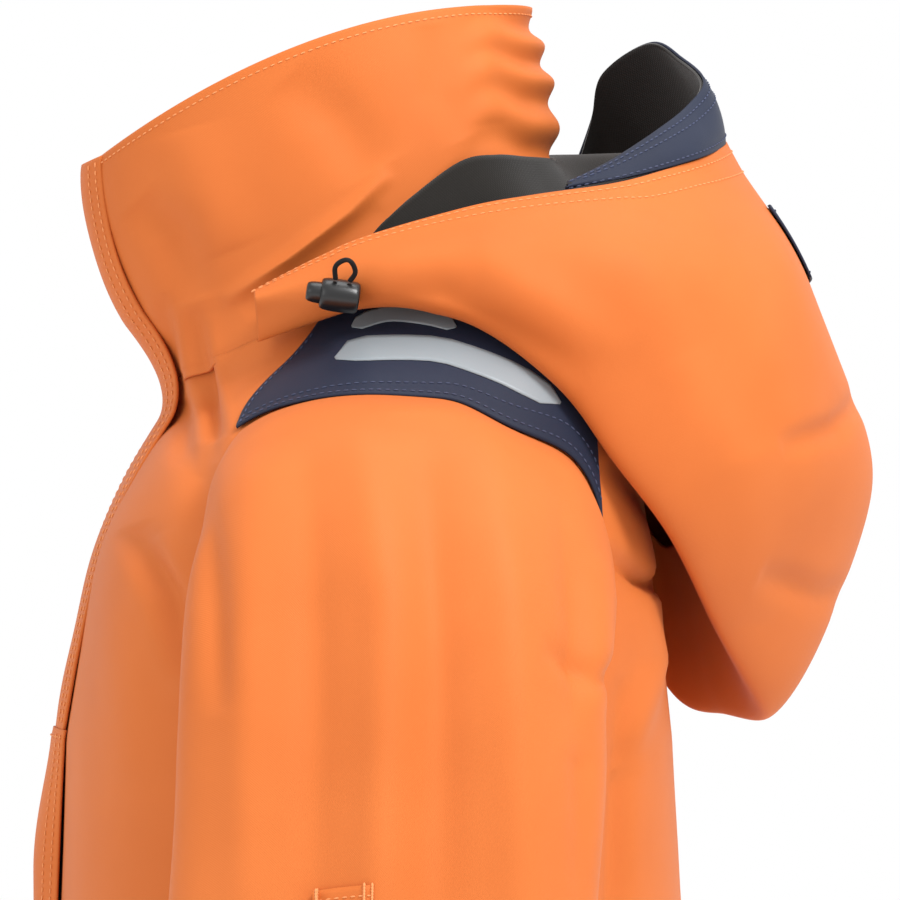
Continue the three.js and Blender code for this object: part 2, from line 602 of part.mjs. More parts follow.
/** A sprung cord lock: a barrel with a blind bore, its plunger and the elastic loop between them. */
function cordLock(prefix, place, direction, loopSide) {
  const { radius, length, wall, plungerClearance, plungerReach, floor, chamfer } = LOCK;
  const bore = radius - wall;
  const plungerRadius = bore - plungerClearance;
  const frame = new THREE.Group();
  frame.position.copy(place);
  frame.quaternion.setFromUnitVectors(new THREE.Vector3(0, 0, 1), direction.clone().normalize());
  jacket.add(frame);
  const barrel = turned([
    [0, 0], [radius - chamfer, 0], [radius, chamfer], [radius, length - chamfer],
    [radius - chamfer, length], [bore, length], [bore, floor], [0, floor],
  ]);
  add(`${prefix}_barrel`, barrel, BLACK_PLASTIC, frame);
  const foot = floor + LOCK.travel + LAYER_GAP;
  const top = length + plungerReach;
  const plunger = turned([
    [0, foot], [plungerRadius, foot], [plungerRadius, top - chamfer],
    [plungerRadius - chamfer, top], [0, top],
  ]);
  add(`${prefix}_plunger`, plunger, BLACK_PLASTIC, frame);
  if (!loopSide) return;
  const middle = length / 2;
  const root = radius + CORD_RADIUS - 0.6;
  const { rootGap, reach, overhang } = CORD_LOOP;
  const path = new THREE.CatmullRomCurve3([
    new THREE.Vector3(0, root, middle - rootGap / 2),
    new THREE.Vector3(0, root + reach / 2, middle - rootGap / 2 - overhang),
    new THREE.Vector3(0, root + reach + 1, middle - 1),
    new THREE.Vector3(0, root + reach / 2 + 2, middle + rootGap / 2 + overhang / 2),
    new THREE.Vector3(0, root, middle + rootGap / 2),
  ]);
  const circle = new THREE.Shape();
  circle.absarc(0, 0, CORD_RADIUS, 0, 2 * Math.PI, true);
  const loop = new THREE.ExtrudeGeometry(circle, { steps: 14, curveSegments: 6, extrudePath: path });
  loop.rotateZ(loopSide);
  add(`${prefix}_loop`, loop, BLACK_PLASTIC, frame);
}

function cordLocks() {
  for (const side of [1, -1]) {
    const prefix = side > 0 ? "left" : "right";
    const place = trunk(radians(HOOD_LOCK.angle), HOOD_LOCK.level).add(new THREE.Vector3(...HOOD_LOCK.offset));
    place.x = side * (place.x + LOCK.radius);
    const pressAxis = new THREE.Vector3(0, -1, HOOD_LOCK.slope);
    cordLock(`${prefix}_hood_lock`, place, pressAxis, side * HOOD_LOCK.loopTurn);
    const hemPoint = trunk(radians(HEM_LOCK.angle), HEM_LOCK.level);
    const outwards = facing((u, v) => trunk(Math.PI * u, 2 * v), HEM_LOCK.angle / 180, HEM_LOCK.level / 2);
    const hemPlace = hemPoint.addScaledVector(outwards, LOCK.radius + 2 * LAYER_GAP);
    hemPlace.x *= side;
    cordLock(`${prefix}_hem_lock`, hemPlace, new THREE.Vector3(0, 0, 1), 0);
  }
}

/** A slider body and its puller on a straight stretch of the zip. */
function zipSlider(prefix, start, direction) {
  const along = direction.clone().normalize();
  const outwards = new THREE.Vector3(-1, 0, 0).cross(along).normalize();
  if (outwards.y > 0) outwards.negate();
  const frame = new THREE.Group();
  frame.position.copy(start).addScaledVector(outwards, ZIP_CLEARANCE);
  const sideways = along.clone().cross(outwards);
  frame.quaternion.setFromRotationMatrix(new THREE.Matrix4().makeBasis(sideways, along, outwards));
  jacket.add(frame);
  const outline = roundedOutline(SLIDER.width, SLIDER.height, SLIDER.corner);
  const body = new THREE.ExtrudeGeometry(outline, { depth: SLIDER.depth, bevelEnabled: false });
  add(`${prefix}_zip_slider`, body, BLACK_PLASTIC, frame);
  const strap = roundedOutline(PULLER.width, PULLER.length, PULLER.corner);
  const eye = new THREE.Path();
  const eyeHeight = PULLER.length / 2 - PULLER.corner - PULLER.eye / 2 - 0.5;
  eye.absarc(0, eyeHeight, PULLER.eye / 2, 0, 2 * Math.PI, true);
  strap.holes.push(eye);
  const puller = new THREE.ExtrudeGeometry(strap, {
    depth: PULLER.thickness, bevelEnabled: false, curveSegments: 6,
  });
  const hang = along.z > 0 ? -1 : 1;
  puller.rotateZ(hang > 0 ? Math.PI : 0);
  puller.translate(0, hang * (PULLER.length / 2 - SLIDER.height / 4), SLIDER.depth + PULLER.clearance);
  add(`${prefix}_zip_puller`, puller, BLACK_PLASTIC, frame);
}

/** A rectangle with round corners, centred on its own origin. */
function roundedOutline(width, height, radius) {
  const x = width / 2 - radius;
  const y = height / 2 - radius;
  const shape = new THREE.Shape();
  shape.absarc(x, y, radius, 0, Math.PI / 2);
  shape.absarc(-x, y, radius, Math.PI / 2, Math.PI);
  shape.absarc(-x, -y, radius, Math.PI, 1.5 * Math.PI);
  shape.absarc(x, -y, radius, 1.5 * Math.PI, 2 * Math.PI);
  return shape;
}

function zipSliders() {
  const bottom = frontLine(1.93);
  zipSlider("bottom", bottom, frontLine(1.2).sub(bottom));
  const top = collarFrontLine(0.1);
  zipSlider("top", top, collarFrontLine(0.9).sub(top));
}

/** The webbing loop inside the back of the neck by which the jacket hangs. */
function hangerLoop() {
  const strap = new THREE.Shape([[-1, -1], [1, -1], [1, 1], [-1, 1]].map(
    ([x, y]) => new THREE.Vector2(x * HANGER.thickness / 2, y * HANGER.width / 2),
  ));
  const y = NECK.back - SHELL_THICKNESS - HANGER.standoff;
  const halfSpan = HANGER.span / 2;
  const path = new THREE.CatmullRomCurve3([
    new THREE.Vector3(-halfSpan, y, HANGER.foot),
    new THREE.Vector3(-halfSpan / 1.2, y, HANGER.foot + HANGER.shoulderRise),
    new THREE.Vector3(0, y, HANGER.foot + HANGER.rise),
    new THREE.Vector3(halfSpan / 1.2, y, HANGER.foot + HANGER.shoulderRise),
    new THREE.Vector3(halfSpan, y, HANGER.foot),
  ]);
  add("hanger_loop", new THREE.ExtrudeGeometry(strap, { steps: 12, extrudePath: path }), BLACK_FLEECE);
}

frontPanels();
backPanel();
yokes();
stripes();
collar();
zip();
zipSliders();
stormFlap();
hangerLoop();
sleeves();
innerCuffs();
cuffTabs();
sleevePocket();
hemFacing();
pockets();
pocketHeaders();
hood();
brim();
hoodRearTab();
cordLocks();

export default jacket;
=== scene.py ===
"""The visible foul weather jacket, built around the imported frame.

Every length is in metres in the frame's own axes: +Z is up, the front faces -Y and the wearer's
left is +X. A surface is a grid of points whose rows run down the cloth and whose columns run
from the front round the wearer's left, so that its faces point out.
"""
from __future__ import annotations

import json
import logging
import math
from dataclasses import dataclass, field
from enum import Enum
from typing import Callable, Sequence

import bmesh
import bpy
import numpy as np
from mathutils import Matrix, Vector


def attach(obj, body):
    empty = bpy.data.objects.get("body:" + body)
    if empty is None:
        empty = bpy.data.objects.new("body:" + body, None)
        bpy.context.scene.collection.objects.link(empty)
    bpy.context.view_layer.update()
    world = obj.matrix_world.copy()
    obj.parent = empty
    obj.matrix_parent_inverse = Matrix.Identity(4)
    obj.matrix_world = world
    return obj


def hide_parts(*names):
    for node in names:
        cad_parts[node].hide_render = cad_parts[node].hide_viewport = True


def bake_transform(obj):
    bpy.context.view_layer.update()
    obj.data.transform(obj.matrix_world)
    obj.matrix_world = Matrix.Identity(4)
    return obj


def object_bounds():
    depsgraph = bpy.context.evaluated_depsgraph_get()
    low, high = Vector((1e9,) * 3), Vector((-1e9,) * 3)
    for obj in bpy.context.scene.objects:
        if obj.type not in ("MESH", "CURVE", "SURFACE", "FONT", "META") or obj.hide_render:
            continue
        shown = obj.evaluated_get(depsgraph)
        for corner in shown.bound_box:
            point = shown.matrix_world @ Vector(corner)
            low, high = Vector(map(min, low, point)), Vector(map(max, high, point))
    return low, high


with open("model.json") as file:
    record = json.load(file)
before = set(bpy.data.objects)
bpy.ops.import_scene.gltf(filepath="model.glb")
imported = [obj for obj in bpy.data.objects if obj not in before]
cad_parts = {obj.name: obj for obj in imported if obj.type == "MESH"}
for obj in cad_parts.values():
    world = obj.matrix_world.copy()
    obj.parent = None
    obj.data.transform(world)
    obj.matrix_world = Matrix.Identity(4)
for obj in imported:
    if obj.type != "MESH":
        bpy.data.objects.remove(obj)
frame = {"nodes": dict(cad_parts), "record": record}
CAD_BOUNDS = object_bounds()

log = logging.getLogger("jacket")
MM = 0.001
TAU = 2 * math.pi

# How far above the cloth's surface the middle of a stitch lies
STITCH_LIFT = 0.2 * MM
# The middle of the body, from which its cloth faces out
BODY_AXIS = (0.0, -0.09, 0.0)
# The swell that every sheet on the body and collar shares: length, height and seed
SHARED_SWELL = (0.16, 1.3 * MM, 7)

Points = np.ndarray
Surface = Callable[[np.ndarray, np.ndarray], Points]


# ---------------------------------------------------------------- curves and grids


def spline(knots: np.ndarray, share: np.ndarray) -> Points:
    """Runs a smooth curve through knots.

    Args:
        knots: K x ... x 3 points, one curve for each place in the middle axes.
        share: How far along the curve to go, from 0 to 1, shaped like the middle axes.

    Returns:
        The points, shaped like share with 3 coordinates each.
    """
    middle = knots.reshape(len(knots), -1, 3)
    chords = np.linalg.norm(np.diff(middle, axis=0), axis=2).mean(axis=1)
    stations = np.concatenate([[0.0], np.cumsum(chords)]) / chords.sum()
    place = np.interp(share, stations, np.arange(len(knots)))
    index = np.minimum(place.astype(int), len(knots) - 2)
    part = (place - index)[..., None]

    def knot(offset: int) -> Points:
        """The knots a given number of places from each point's own."""
        chosen = np.clip(index + offset, 0, len(knots) - 1)
        return np.take_along_axis(knots, chosen[None, ..., None], axis=0)[0]

    before, start, end, after = knot(-1), knot(0), knot(1), knot(2)
    return 0.5 * (
        2 * start
        + (end - before) * part
        + (2 * before - 5 * start + 4 * end - after) * part**2
        + (3 * start - before - 3 * end + after) * part**3
    )


def rail(points: Sequence[Sequence[float]], share: np.ndarray) -> Points:
    """Points along one smooth rail, whose knots are in millimetres.

    Args:
        points: The rail's knots, in millimetres.
        share: How far along the rail to go, from 0 to 1.

    Returns:
        The points in metres, shaped like share with 3 coordinates each.
    """
    knots = np.array(points, float) * MM
    spread = knots.reshape((len(knots),) + (1,) * share.ndim + (3,))
    return spline(np.broadcast_to(spread, (len(knots),) + share.shape + (3,)), share)


def mesh_points(surface: Surface, rows: int, columns: int, around: bool = False) -> Points:
    """Samples surface(u, v) on a grid, leaving out the last column where it closes on itself.

    Args:
        surface: A function from two grids of shares, across and down, to points.
        rows: How many rows of faces.
        columns: How many columns of faces.
        around: Whether the last column joins the first.

    Returns:
        Rows x columns x 3 points.
    """
    across = np.linspace(0, 1, columns + 1)[: columns if around else None]
    u, v = np.meshgrid(across, np.linspace(0, 1, rows + 1))
    return surface(u, v)


def normals(points: Points, around: bool = False) -> Points:
    """The outward directions of a grid of points.

    Args:
        points: The grid.
        around: Whether the last column joins the first.

    Returns:
        One unit direction for each point.
    """
    sideways = np.roll(points, -1, 1) - np.roll(points, 1, 1) if around else np.gradient(points, axis=1)
    out = np.cross(np.gradient(points, axis=0), sideways)
    return out / np.maximum(np.linalg.norm(out, axis=2, keepdims=True), 1e-12)


def seam_surface(points: Points, around: bool = False) -> Points:
    """Lifts a grid of points to where stitches lie, just proud of the cloth.

    Args:
        points: The grid.
        around: Whether the last column joins the first.

    Returns:
        The lifted grid.
    """
    return points + normals(points, around) * STITCH_LIFT


def smoothstep(value: np.ndarray, low: float, high: float) -> np.ndarray:
    """A soft step from 0 at low to 1 at high.

    Args:
        value: The values to step over.
        low: Where the step starts.
        high: Where it ends.

    Returns:
        The step at each value.
    """
    share = np.clip((value - low) / (high - low), 0, 1)
    return share * share * (3 - 2 * share)


def signed_power(value: np.ndarray, exponent: float) -> np.ndarray:
    """A power that keeps the sign, which squares up an ellipse."""
    return np.sign(value) * np.abs(value) ** exponent


def new_object(name: str, data: bpy.types.ID) -> bpy.types.Object:
    """Makes an object in the scene.

    Args:
        name: The object's name.
        data: Its mesh, camera or light.

    Returns:
        The new object, at the origin.
    """
    made = bpy.data.objects.new(name, data)
    bpy.context.scene.collection.objects.link(made)
    return made


def grid_object(name: str, points: Points, around: bool = False, flip: bool = False) -> bpy.types.Object:
    """Makes a mesh object from a grid of points, with a UV map in metres.

    Args:
        name: The piece's name.
        points: Rows x columns x 3 points.
        around: Whether the last column joins the first.
        flip: Whether the grid's outward side is turned round.

    Returns:
        The new object, with smooth faces.
    """
    rows, columns = points.shape[:2]
    number = np.arange(rows * columns).reshape(rows, columns)
    if around:
        number = np.concatenate([number, number[:, :1]], axis=1)
    corners = [number[:-1, :-1], number[1:, :-1], number[1:, 1:], number[:-1, 1:]]
    if flip:
        corners.reverse()
    faces = np.stack(corners, axis=-1).reshape(-1, 4)
    mesh = bpy.data.meshes.new(name)
    mesh.from_pydata(points.reshape(-1, 3).tolist(), [], faces.tolist())
    lengths_across = np.linalg.norm(np.diff(points, axis=1), axis=2).mean(axis=0)
    lengths_down = np.linalg.norm(np.diff(points, axis=0), axis=2).mean(axis=1)
    across = np.concatenate([[0], np.cumsum(lengths_across)])
    if around:
        across = np.append(across, across[-1] + lengths_across[-1])
    down = np.concatenate([[0], np.cumsum(lengths_down)])
    u, v = np.meshgrid(across, down)
    uv_corners = [(slice(None, -1), slice(None, -1)), (slice(1, None), slice(None, -1)),
                  (slice(1, None), slice(1, None)), (slice(None, -1), slice(1, None))]
    if flip:
        uv_corners.reverse()
    layer = mesh.uv_layers.new(name="cloth")
    coordinates = np.stack([np.stack([u[c], v[c]], axis=-1) for c in uv_corners], axis=2)
    layer.data.foreach_set("uv", coordinates.reshape(-1).astype(np.float32))
    mesh.polygons.foreach_set("use_smooth", [True] * len(mesh.polygons))
    mesh.update()
    return new_object(name, mesh)


def thicken(piece: bpy.types.Object, thickness: float, offset: float = -1.0) -> None:
    """Gives a sheet its thickness, inwards unless offset says otherwise.

    Args:
        piece: The sheet.
        thickness: Its thickness in metres.
        offset: -1 thickens inwards and 1 outwards.
    """
    wall = piece.modifiers.new("cloth", "SOLIDIFY")
    wall.thickness = thickness
    wall.offset = offset
    wall.use_even_offset = False


def baked_mesh(working: bpy.types.Object) -> bpy.types.Mesh:
    """Applies an object's modifiers, and removes the object.

    Args:
        working: The object to apply.

    Returns:
        Its mesh as the modifiers leave it.
    """
    evaluated = working.evaluated_get(bpy.context.evaluated_depsgraph_get())
    made = bpy.data.meshes.new_from_object(evaluated)
    bpy.data.objects.remove(working)
    return made


# ---------------------------------------------------------------- folds


@dataclass(frozen=True)
class Fold:
    """A soft fold that follows a path across the cloth.

    The path's points are (forward, up) places in millimetres, as seen from the wearer's left. The
    height and width are in millimetres too, and lean makes one flank steeper than the other.
    """

    path: tuple[tuple[float, float], ...]
    height: float
    width: float
    lean: float = 0.0

    def lift(self, flat: np.ndarray) -> np.ndarray:
        """How far the fold lifts each point, in metres.

        Args:
            flat: ... x 2 places of the cloth's points in the path's own plane, in metres.

        Returns:
            The lift at each point, which fades out towards the path's ends.
        """
        knots = np.array(self.path, float) * MM
        lengths = np.linalg.norm(np.diff(knots, axis=0), axis=1)
        starts = np.concatenate([[0], np.cumsum(lengths)])
        nearest = np.full(flat.shape[:-1], 1e9)
        signed = np.zeros(flat.shape[:-1])
        along = np.zeros(flat.shape[:-1])
        for index, length in enumerate(lengths):
            direction = (knots[index + 1] - knots[index]) / length
            offset = flat - knots[index]
            reach = np.clip(offset @ direction, 0, length)
            gap = offset - reach[..., None] * direction
            distance = np.linalg.norm(gap, axis=-1)
            side = np.sign(direction[0] * offset[..., 1] - direction[1] * offset[..., 0])
            closer = distance < nearest
            nearest = np.where(closer, distance, nearest)
            signed = np.where(closer, distance * side, signed)
            along = np.where(closer, (starts[index] + reach) / starts[-1], along)
        spread = signed / (self.width * MM)
        profile = np.exp(-(spread**2)) * (1 + self.lean * spread)
        fade = np.sin(np.pi * np.clip(along, 0.0, 1.0)) ** 0.6
        return self.height * MM * profile * fade


def fold_cloth(points: Points, folds: Sequence[Fold], where: np.ndarray, around: bool = False) -> Points:
    """Lifts a grid of points by folds seen from the side.

    Args:
        points: The grid.
        folds: The folds, with paths in (forward, up) places.
        where: How strongly the folds apply at each point, from 0 to 1.
        around: Whether the grid closes on itself.

    Returns:
        The folded grid.
    """
    flat = points[..., 1:]
    lift = sum((fold.lift(flat) for fold in folds), np.zeros(points.shape[:2]))
    return points + normals(points, around) * (lift * where)[..., None]


def swell(points: Points, size: float, seed: int) -> np.ndarray:
    """The small uneven swell of worn cloth at each point, as a sum of slow waves in all directions.

    Args:
        points: The places, in metres.
        size: The waves' typical length, in metres.
        seed: The random draws' seed.

    Returns:
        The swell, with a typical size of 1.
    """
    random = np.random.default_rng(seed)
    total = np.zeros(points.shape[:-1])
    for _ in range(14):
        direction = random.normal(size=3)
        direction *= TAU / (size * random.uniform(0.7, 2.2)) / np.linalg.norm(direction)
        total += np.sin(points @ direction + random.uniform(0, TAU)) / 14**0.5
    return total


def rumple(points: Points, size: float, depth: float, seed: int, around: bool = False) -> Points:
    """Adds the swell of worn cloth to a grid of points.

    Args:
        points: The grid.
        size: The waves' typical length, in metres.
        depth: The swell's typical height, in metres.
        seed: The random draws' seed.
        around: Whether the last column joins the first.

    Returns:
        The rumpled grid.
    """
    return points + normals(points, around) * (swell(points, size, seed) * depth)[..., None]


# ---------------------------------------------------------------- finishes


def linear(hex_colour: str) -> tuple[float, float, float, float]:
    """Turns an sRGB hex colour into the linear colour that a shader takes.

    Args:
        hex_colour: A colour as #rrggbb.

    Returns:
        Red, green, blue and alpha.
    """
    channels = [int(hex_colour[i : i + 2], 16) / 255 for i in (1, 3, 5)]
    values = [c / 12.92 if c <= 0.04045 else ((c + 0.055) / 1.055) ** 2.4 for c in channels]
    return (*values, 1.0)


def add_node(
    tree: bpy.types.NodeTree, kind: str, settings: dict | None = None, links: dict | None = None
) -> bpy.types.Node:
    """Adds a node to a tree.

    Args:
        tree: The node tree.
        kind: The node's type name.
        settings: Attributes, or inputs by name or number, and their values.
        links: Inputs by name or number, and the output sockets that feed them.

    Returns:
        The new node.
    """
    node = tree.nodes.new(kind)
    for key, value in (settings or {}).items():
        if isinstance(key, str) and hasattr(node, key):
            setattr(node, key, value)
        else:
            node.inputs[key].default_value = value
    for key, socket in (links or {}).items():
        tree.links.new(socket, node.inputs[key])
    return node


@dataclass(frozen=True)
class WovenFinish:
    """A coated plain-woven shell cloth: fine crossed threads under a matte face coat."""

    name: str
    colour: str
    shade: str
    roughness: float = 0.6
    thread: float = 0.9 * MM
    bump: float = 0.22
    sheen: float = 0.02

    def material(self) -> bpy.types.Material:
        """Makes the material, whose weave follows the cloth's own UV map, in metres.

        Returns:
            The new material.
        """
        made = bpy.data.materials.new(self.name)
        made.use_nodes = True
        tree = made.node_tree
        tree.nodes.clear()
        place = add_node(tree, "ShaderNodeTexCoord")
        broad = add_node(tree, "ShaderNodeTexNoise", {"Scale": 9.0, "Detail": 3.0, "Roughness": 0.55},
                         {"Vector": place.outputs["Object"]})
        fine = add_node(tree, "ShaderNodeTexNoise", {"Scale": 900.0, "Detail": 2.0},
                        {"Vector": place.outputs["Object"]})
        tone = add_node(tree, "ShaderNodeMapRange",
                        {"From Min": 0.3, "From Max": 0.7, "To Min": 0.0, "To Max": 1.0},
                        {"Value": broad.outputs["Fac"]})
        cloth = add_node(tree, "ShaderNodeMix",
                         {"data_type": "RGBA", 6: linear(self.colour), 7: linear(self.shade)},
                         {0: tone.outputs["Result"]})
        pitch = TAU / self.thread
        split = add_node(tree, "ShaderNodeSeparateXYZ", None, {"Vector": place.outputs["UV"]})
        waves = []
        for axis in ("X", "Y"):
            scaled = add_node(tree, "ShaderNodeMath", {"operation": "MULTIPLY", 1: pitch},
                              {0: split.outputs[axis]})
            waves.append(add_node(tree, "ShaderNodeMath", {"operation": "SINE"}, {0: scaled.outputs[0]}))
        weave = add_node(tree, "ShaderNodeMath", {"operation": "MULTIPLY"},
                         {0: waves[0].outputs[0], 1: waves[1].outputs[0]})
        relief = add_node(tree, "ShaderNodeMath", {"operation": "ADD"},
                          {0: weave.outputs[0], 1: fine.outputs["Fac"]})
        bump = add_node(tree, "ShaderNodeBump", {"Strength": self.bump, "Distance": 0.12 * MM},
                        {"Height": relief.outputs[0]})
        shader = add_node(tree, "ShaderNodeBsdfPrincipled",
                          {"Roughness": self.roughness, "IOR": 1.46, "Sheen Weight": self.sheen,
                           "Sheen Roughness": 0.5, "Specular IOR Level": 0.2},
                          {"Base Color": cloth.outputs[2], "Normal": bump.outputs["Normal"]})
        add_node(tree, "ShaderNodeOutputMaterial", None, {"Surface": shader.outputs["BSDF"]})
        return made


@dataclass(frozen=True)
class PlainFinish:
    """A moulded or filmed surface with a fine grain."""

    name: str
    colour: str
    roughness: float
    grain: float = 0.4 * MM
    bump: float = 0.1
    metallic: float = 0.0

    def material(self) -> bpy.types.Material:
        """Makes the material, whose grain is worked from Object coordinates.

        Returns:
            The new material.
        """
        made = bpy.data.materials.new(self.name)
        made.use_nodes = True
        tree = made.node_tree
        tree.nodes.clear()
        place = add_node(tree, "ShaderNodeTexCoord")
        grain = add_node(tree, "ShaderNodeTexNoise", {"Scale": 1 / self.grain, "Detail": 2.0},
                         {"Vector": place.outputs["Object"]})
        bump = add_node(tree, "ShaderNodeBump", {"Strength": self.bump, "Distance": 0.1 * MM},
                        {"Height": grain.outputs["Fac"]})
        shader = add_node(tree, "ShaderNodeBsdfPrincipled",
                          {"Base Color": linear(self.colour), "Roughness": self.roughness,
                           "Metallic": self.metallic},
                          {"Normal": bump.outputs["Normal"]})
        add_node(tree, "ShaderNodeOutputMaterial", None, {"Surface": shader.outputs["BSDF"]})
        return made


class Finish(Enum):
    """The jacket's finishes, each of which makes one material."""

    # Nylon woven plain and coated on its face: an even matte colour, with a hint of the crossed threads.
    ORANGE = WovenFinish("coated orange shell cloth", "#c86b31", "#c0642b")
    # The same cloth dyed dark, so that its threads show less and its gloss shows more.
    NAVY = WovenFinish("coated navy shell cloth", "#1d2233", "#242a3c", roughness=0.55)
    # Knitted polyester, brushed: no gloss at all, and a soft bright rim from its raised fibres.
    FLEECE = WovenFinish(
        "brushed black fleece", "#161412", "#201d1a", roughness=0.95, thread=1.6 * MM, bump=0.5, sheen=0.25
    )
    # Polyester tape woven thick, with ribs coarse enough to see.
    WEBBING = WovenFinish("black woven tape", "#111112", "#18181a", roughness=0.7, thread=1.1 * MM, bump=0.5)
    # Bonded thread has a faint waxy sheen and is paler than the cloth that it is sewn through.
    THREAD = PlainFinish("bonded orange polyester thread", "#d98a52", 0.7, grain=0.3 * MM)
    DARK_THREAD = PlainFinish("bonded navy polyester thread", "#39405a", 0.7, grain=0.3 * MM)
    # Film with glass beads moulded into it: flat grey in plain light, with a fine pearly grain.
    SILVER = PlainFinish("glass bead reflective film", "#878f94", 0.42, grain=0.35 * MM, bump=0.12)
    # Acetal straight from the mould: black, slightly waxy and smoother than the cloth.
    PLASTIC = PlainFinish("moulded black acetal", "#121213", 0.32, grain=0.6 * MM, bump=0.08)

    def material(self) -> bpy.types.Material:
        """The finish's one material, made when it is first needed."""
        return bpy.data.materials.get(self.value.name) or self.value.material()

    def dress(self, piece: bpy.types.Object) -> None:
        """Puts this finish on a piece in place of what it has."""
        piece.data.materials.clear()
        piece.data.materials.append(self.material())


SLOTS = {
    Finish.ORANGE: "orange_fabric",
    Finish.THREAD: "orange_fabric",
    Finish.NAVY: "navy_fabric",
    Finish.DARK_THREAD: "navy_fabric",
    Finish.FLEECE: "black_fleece",
    Finish.WEBBING: "black_webbing",
    Finish.SILVER: "reflective_tape",
    Finish.PLASTIC: "black_plastic",
}


def settle(piece: bpy.types.Object, finish: Finish, body: str, *nodes: str) -> bpy.types.Object:
    """Dresses a piece, rides it on a body and hides the frame nodes that it stands for.

    Args:
        piece: The finished piece.
        finish: Its finish.
        body: The body that it rides on.
        nodes: The frame nodes that it stands for.

    Returns:
        The same piece.
    """
    finish.dress(piece)
    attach(piece, body)
    if nodes:
        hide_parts(*nodes)
    log.info("%s: %d faces on %s", piece.name, len(piece.data.polygons), body)
    return piece


# ---------------------------------------------------------------- rows of stitches and teeth


class Unit(Enum):
    """What a row is made of."""

    STITCH = "stitch"
    TOOTH = "tooth"


@dataclass
class Rows:
    """Rows of small repeated units that follow lines on the cloth, set out by Geometry Nodes."""

    label: str
    unit: Unit
    finish: Finish
    pitch: float
    length: float
    radius: float
    lines: dict[str, list[Points]] = field(default_factory=dict)

    def run(self, body: str, *lines: Points) -> None:
        """Adds lines that ride on a body, in metres."""
        self.lines.setdefault(body, []).extend(lines)

    def mirrored(self, left: str, right: str, *lines: Points) -> None:
        """Adds lines on the wearer's left and their mirror images on the right.

        Args:
            left: The body that the lines ride on.
            right: The body that their mirror images ride on.
            lines: The lines on the wearer's left, in metres.
        """
        self.run(left, *lines)
        self.run(right, *(line * [-1, 1, 1] for line in lines))

    def tree(self) -> bpy.types.NodeTree:
        """Makes the node tree that sets one unit at each pitch of a line, along the line.

        Returns:
            The tree, whose named inputs are the lines and the sizes.
        """
        tree = bpy.data.node_groups.new(f"{self.unit.value}_rows", "GeometryNodeTree")
        tree.interface.new_socket("Lines", in_out="INPUT", socket_type="NodeSocketGeometry")
        for name in ("Pitch", "Length", "Radius"):
            tree.interface.new_socket(name, in_out="INPUT", socket_type="NodeSocketFloat")
        tree.interface.new_socket("Rows", in_out="OUTPUT", socket_type="NodeSocketGeometry")
        sizes = add_node(tree, "NodeGroupInput")
        curve = add_node(tree, "GeometryNodeMeshToCurve", None, {"Mesh": sizes.outputs["Lines"]})
        even = add_node(tree, "GeometryNodeResampleCurve", {"mode": "LENGTH"},
                        {"Curve": curve.outputs["Curve"], "Length": sizes.outputs["Pitch"]})
        tangent = add_node(tree, "GeometryNodeInputTangent")
        turn = add_node(tree, "FunctionNodeAlignRotationToVector", {"axis": "Z"},
                        {"Vector": tangent.outputs["Tangent"]})
        if self.unit is Unit.STITCH:
            ball = add_node(tree, "GeometryNodeMeshUVSphere", {"Segments": 6, "Rings": 4},
                            {"Radius": sizes.outputs["Radius"]})
            half = add_node(tree, "ShaderNodeMath", {"operation": "DIVIDE"},
                            {0: sizes.outputs["Length"], 1: sizes.outputs["Radius"]})
            stretch = add_node(tree, "ShaderNodeCombineXYZ", {"X": 1.0, "Y": 1.0}, {"Z": half.outputs[0]})
            links = {"Instance": ball.outputs["Mesh"], "Scale": stretch.outputs["Vector"]}
        else:
            size = add_node(tree, "ShaderNodeCombineXYZ", None,
                            {"X": sizes.outputs["Radius"], "Y": sizes.outputs["Radius"],
                             "Z": sizes.outputs["Length"]})
            block = add_node(tree, "GeometryNodeMeshCube", None, {"Size": size.outputs["Vector"]})
            links = {"Instance": block.outputs["Mesh"]}
        placed = add_node(tree, "GeometryNodeInstanceOnPoints", None,
                          {"Points": even.outputs["Curve"], "Rotation": turn.outputs["Rotation"], **links})
        solid = add_node(tree, "GeometryNodeRealizeInstances", None,
                         {"Geometry": placed.outputs["Instances"]})
        dressed = add_node(tree, "GeometryNodeSetMaterial", None, {"Geometry": solid.outputs["Geometry"]})
        dressed.inputs["Material"].default_value = self.finish.material()
        add_node(tree, "NodeGroupOutput", None, {"Rows": dressed.outputs["Geometry"]})
        return tree

    def build(self) -> None:
        """Builds one piece of rows for each body."""
        tree = self.tree()
        names = {item.name: item.identifier for item in tree.interface.items_tree if item.in_out == "INPUT"}
        for body, lines in self.lines.items():
            points = np.concatenate(lines)
            starts = np.cumsum([0] + [len(line) for line in lines])
            edges = [(k, k + 1) for a, b in zip(starts, starts[1:]) for k in range(a, b - 1)]
            mesh = bpy.data.meshes.new("seam_lines")
            mesh.from_pydata(points.tolist(), edges, [])
            guide = new_object("seam_lines", mesh)
            rows = guide.modifiers.new("rows", "NODES")
            rows.node_group = tree
            for name, value in (("Pitch", self.pitch), ("Length", self.length), ("Radius", self.radius)):
                rows[names[name]] = value
            piece = new_object(f"{body}_{self.label}", baked_mesh(guide))
            settle(piece, self.finish, body)


STITCHES = Rows("orange_stitches", Unit.STITCH, Finish.THREAD, 4.0 * MM, 1.35 * MM, 0.42 * MM)
NAVY_STITCHES = Rows("navy_stitches", Unit.STITCH, Finish.DARK_THREAD, 4.0 * MM, 1.35 * MM, 0.42 * MM)
BARTACKS = Rows("bartacks", Unit.STITCH, Finish.THREAD, 1.4 * MM, 1.2 * MM, 0.7 * MM)
TEETH = Rows("zip_teeth", Unit.TOOTH, Finish.PLASTIC, 2.6 * MM, 1.5 * MM, 3.0 * MM)


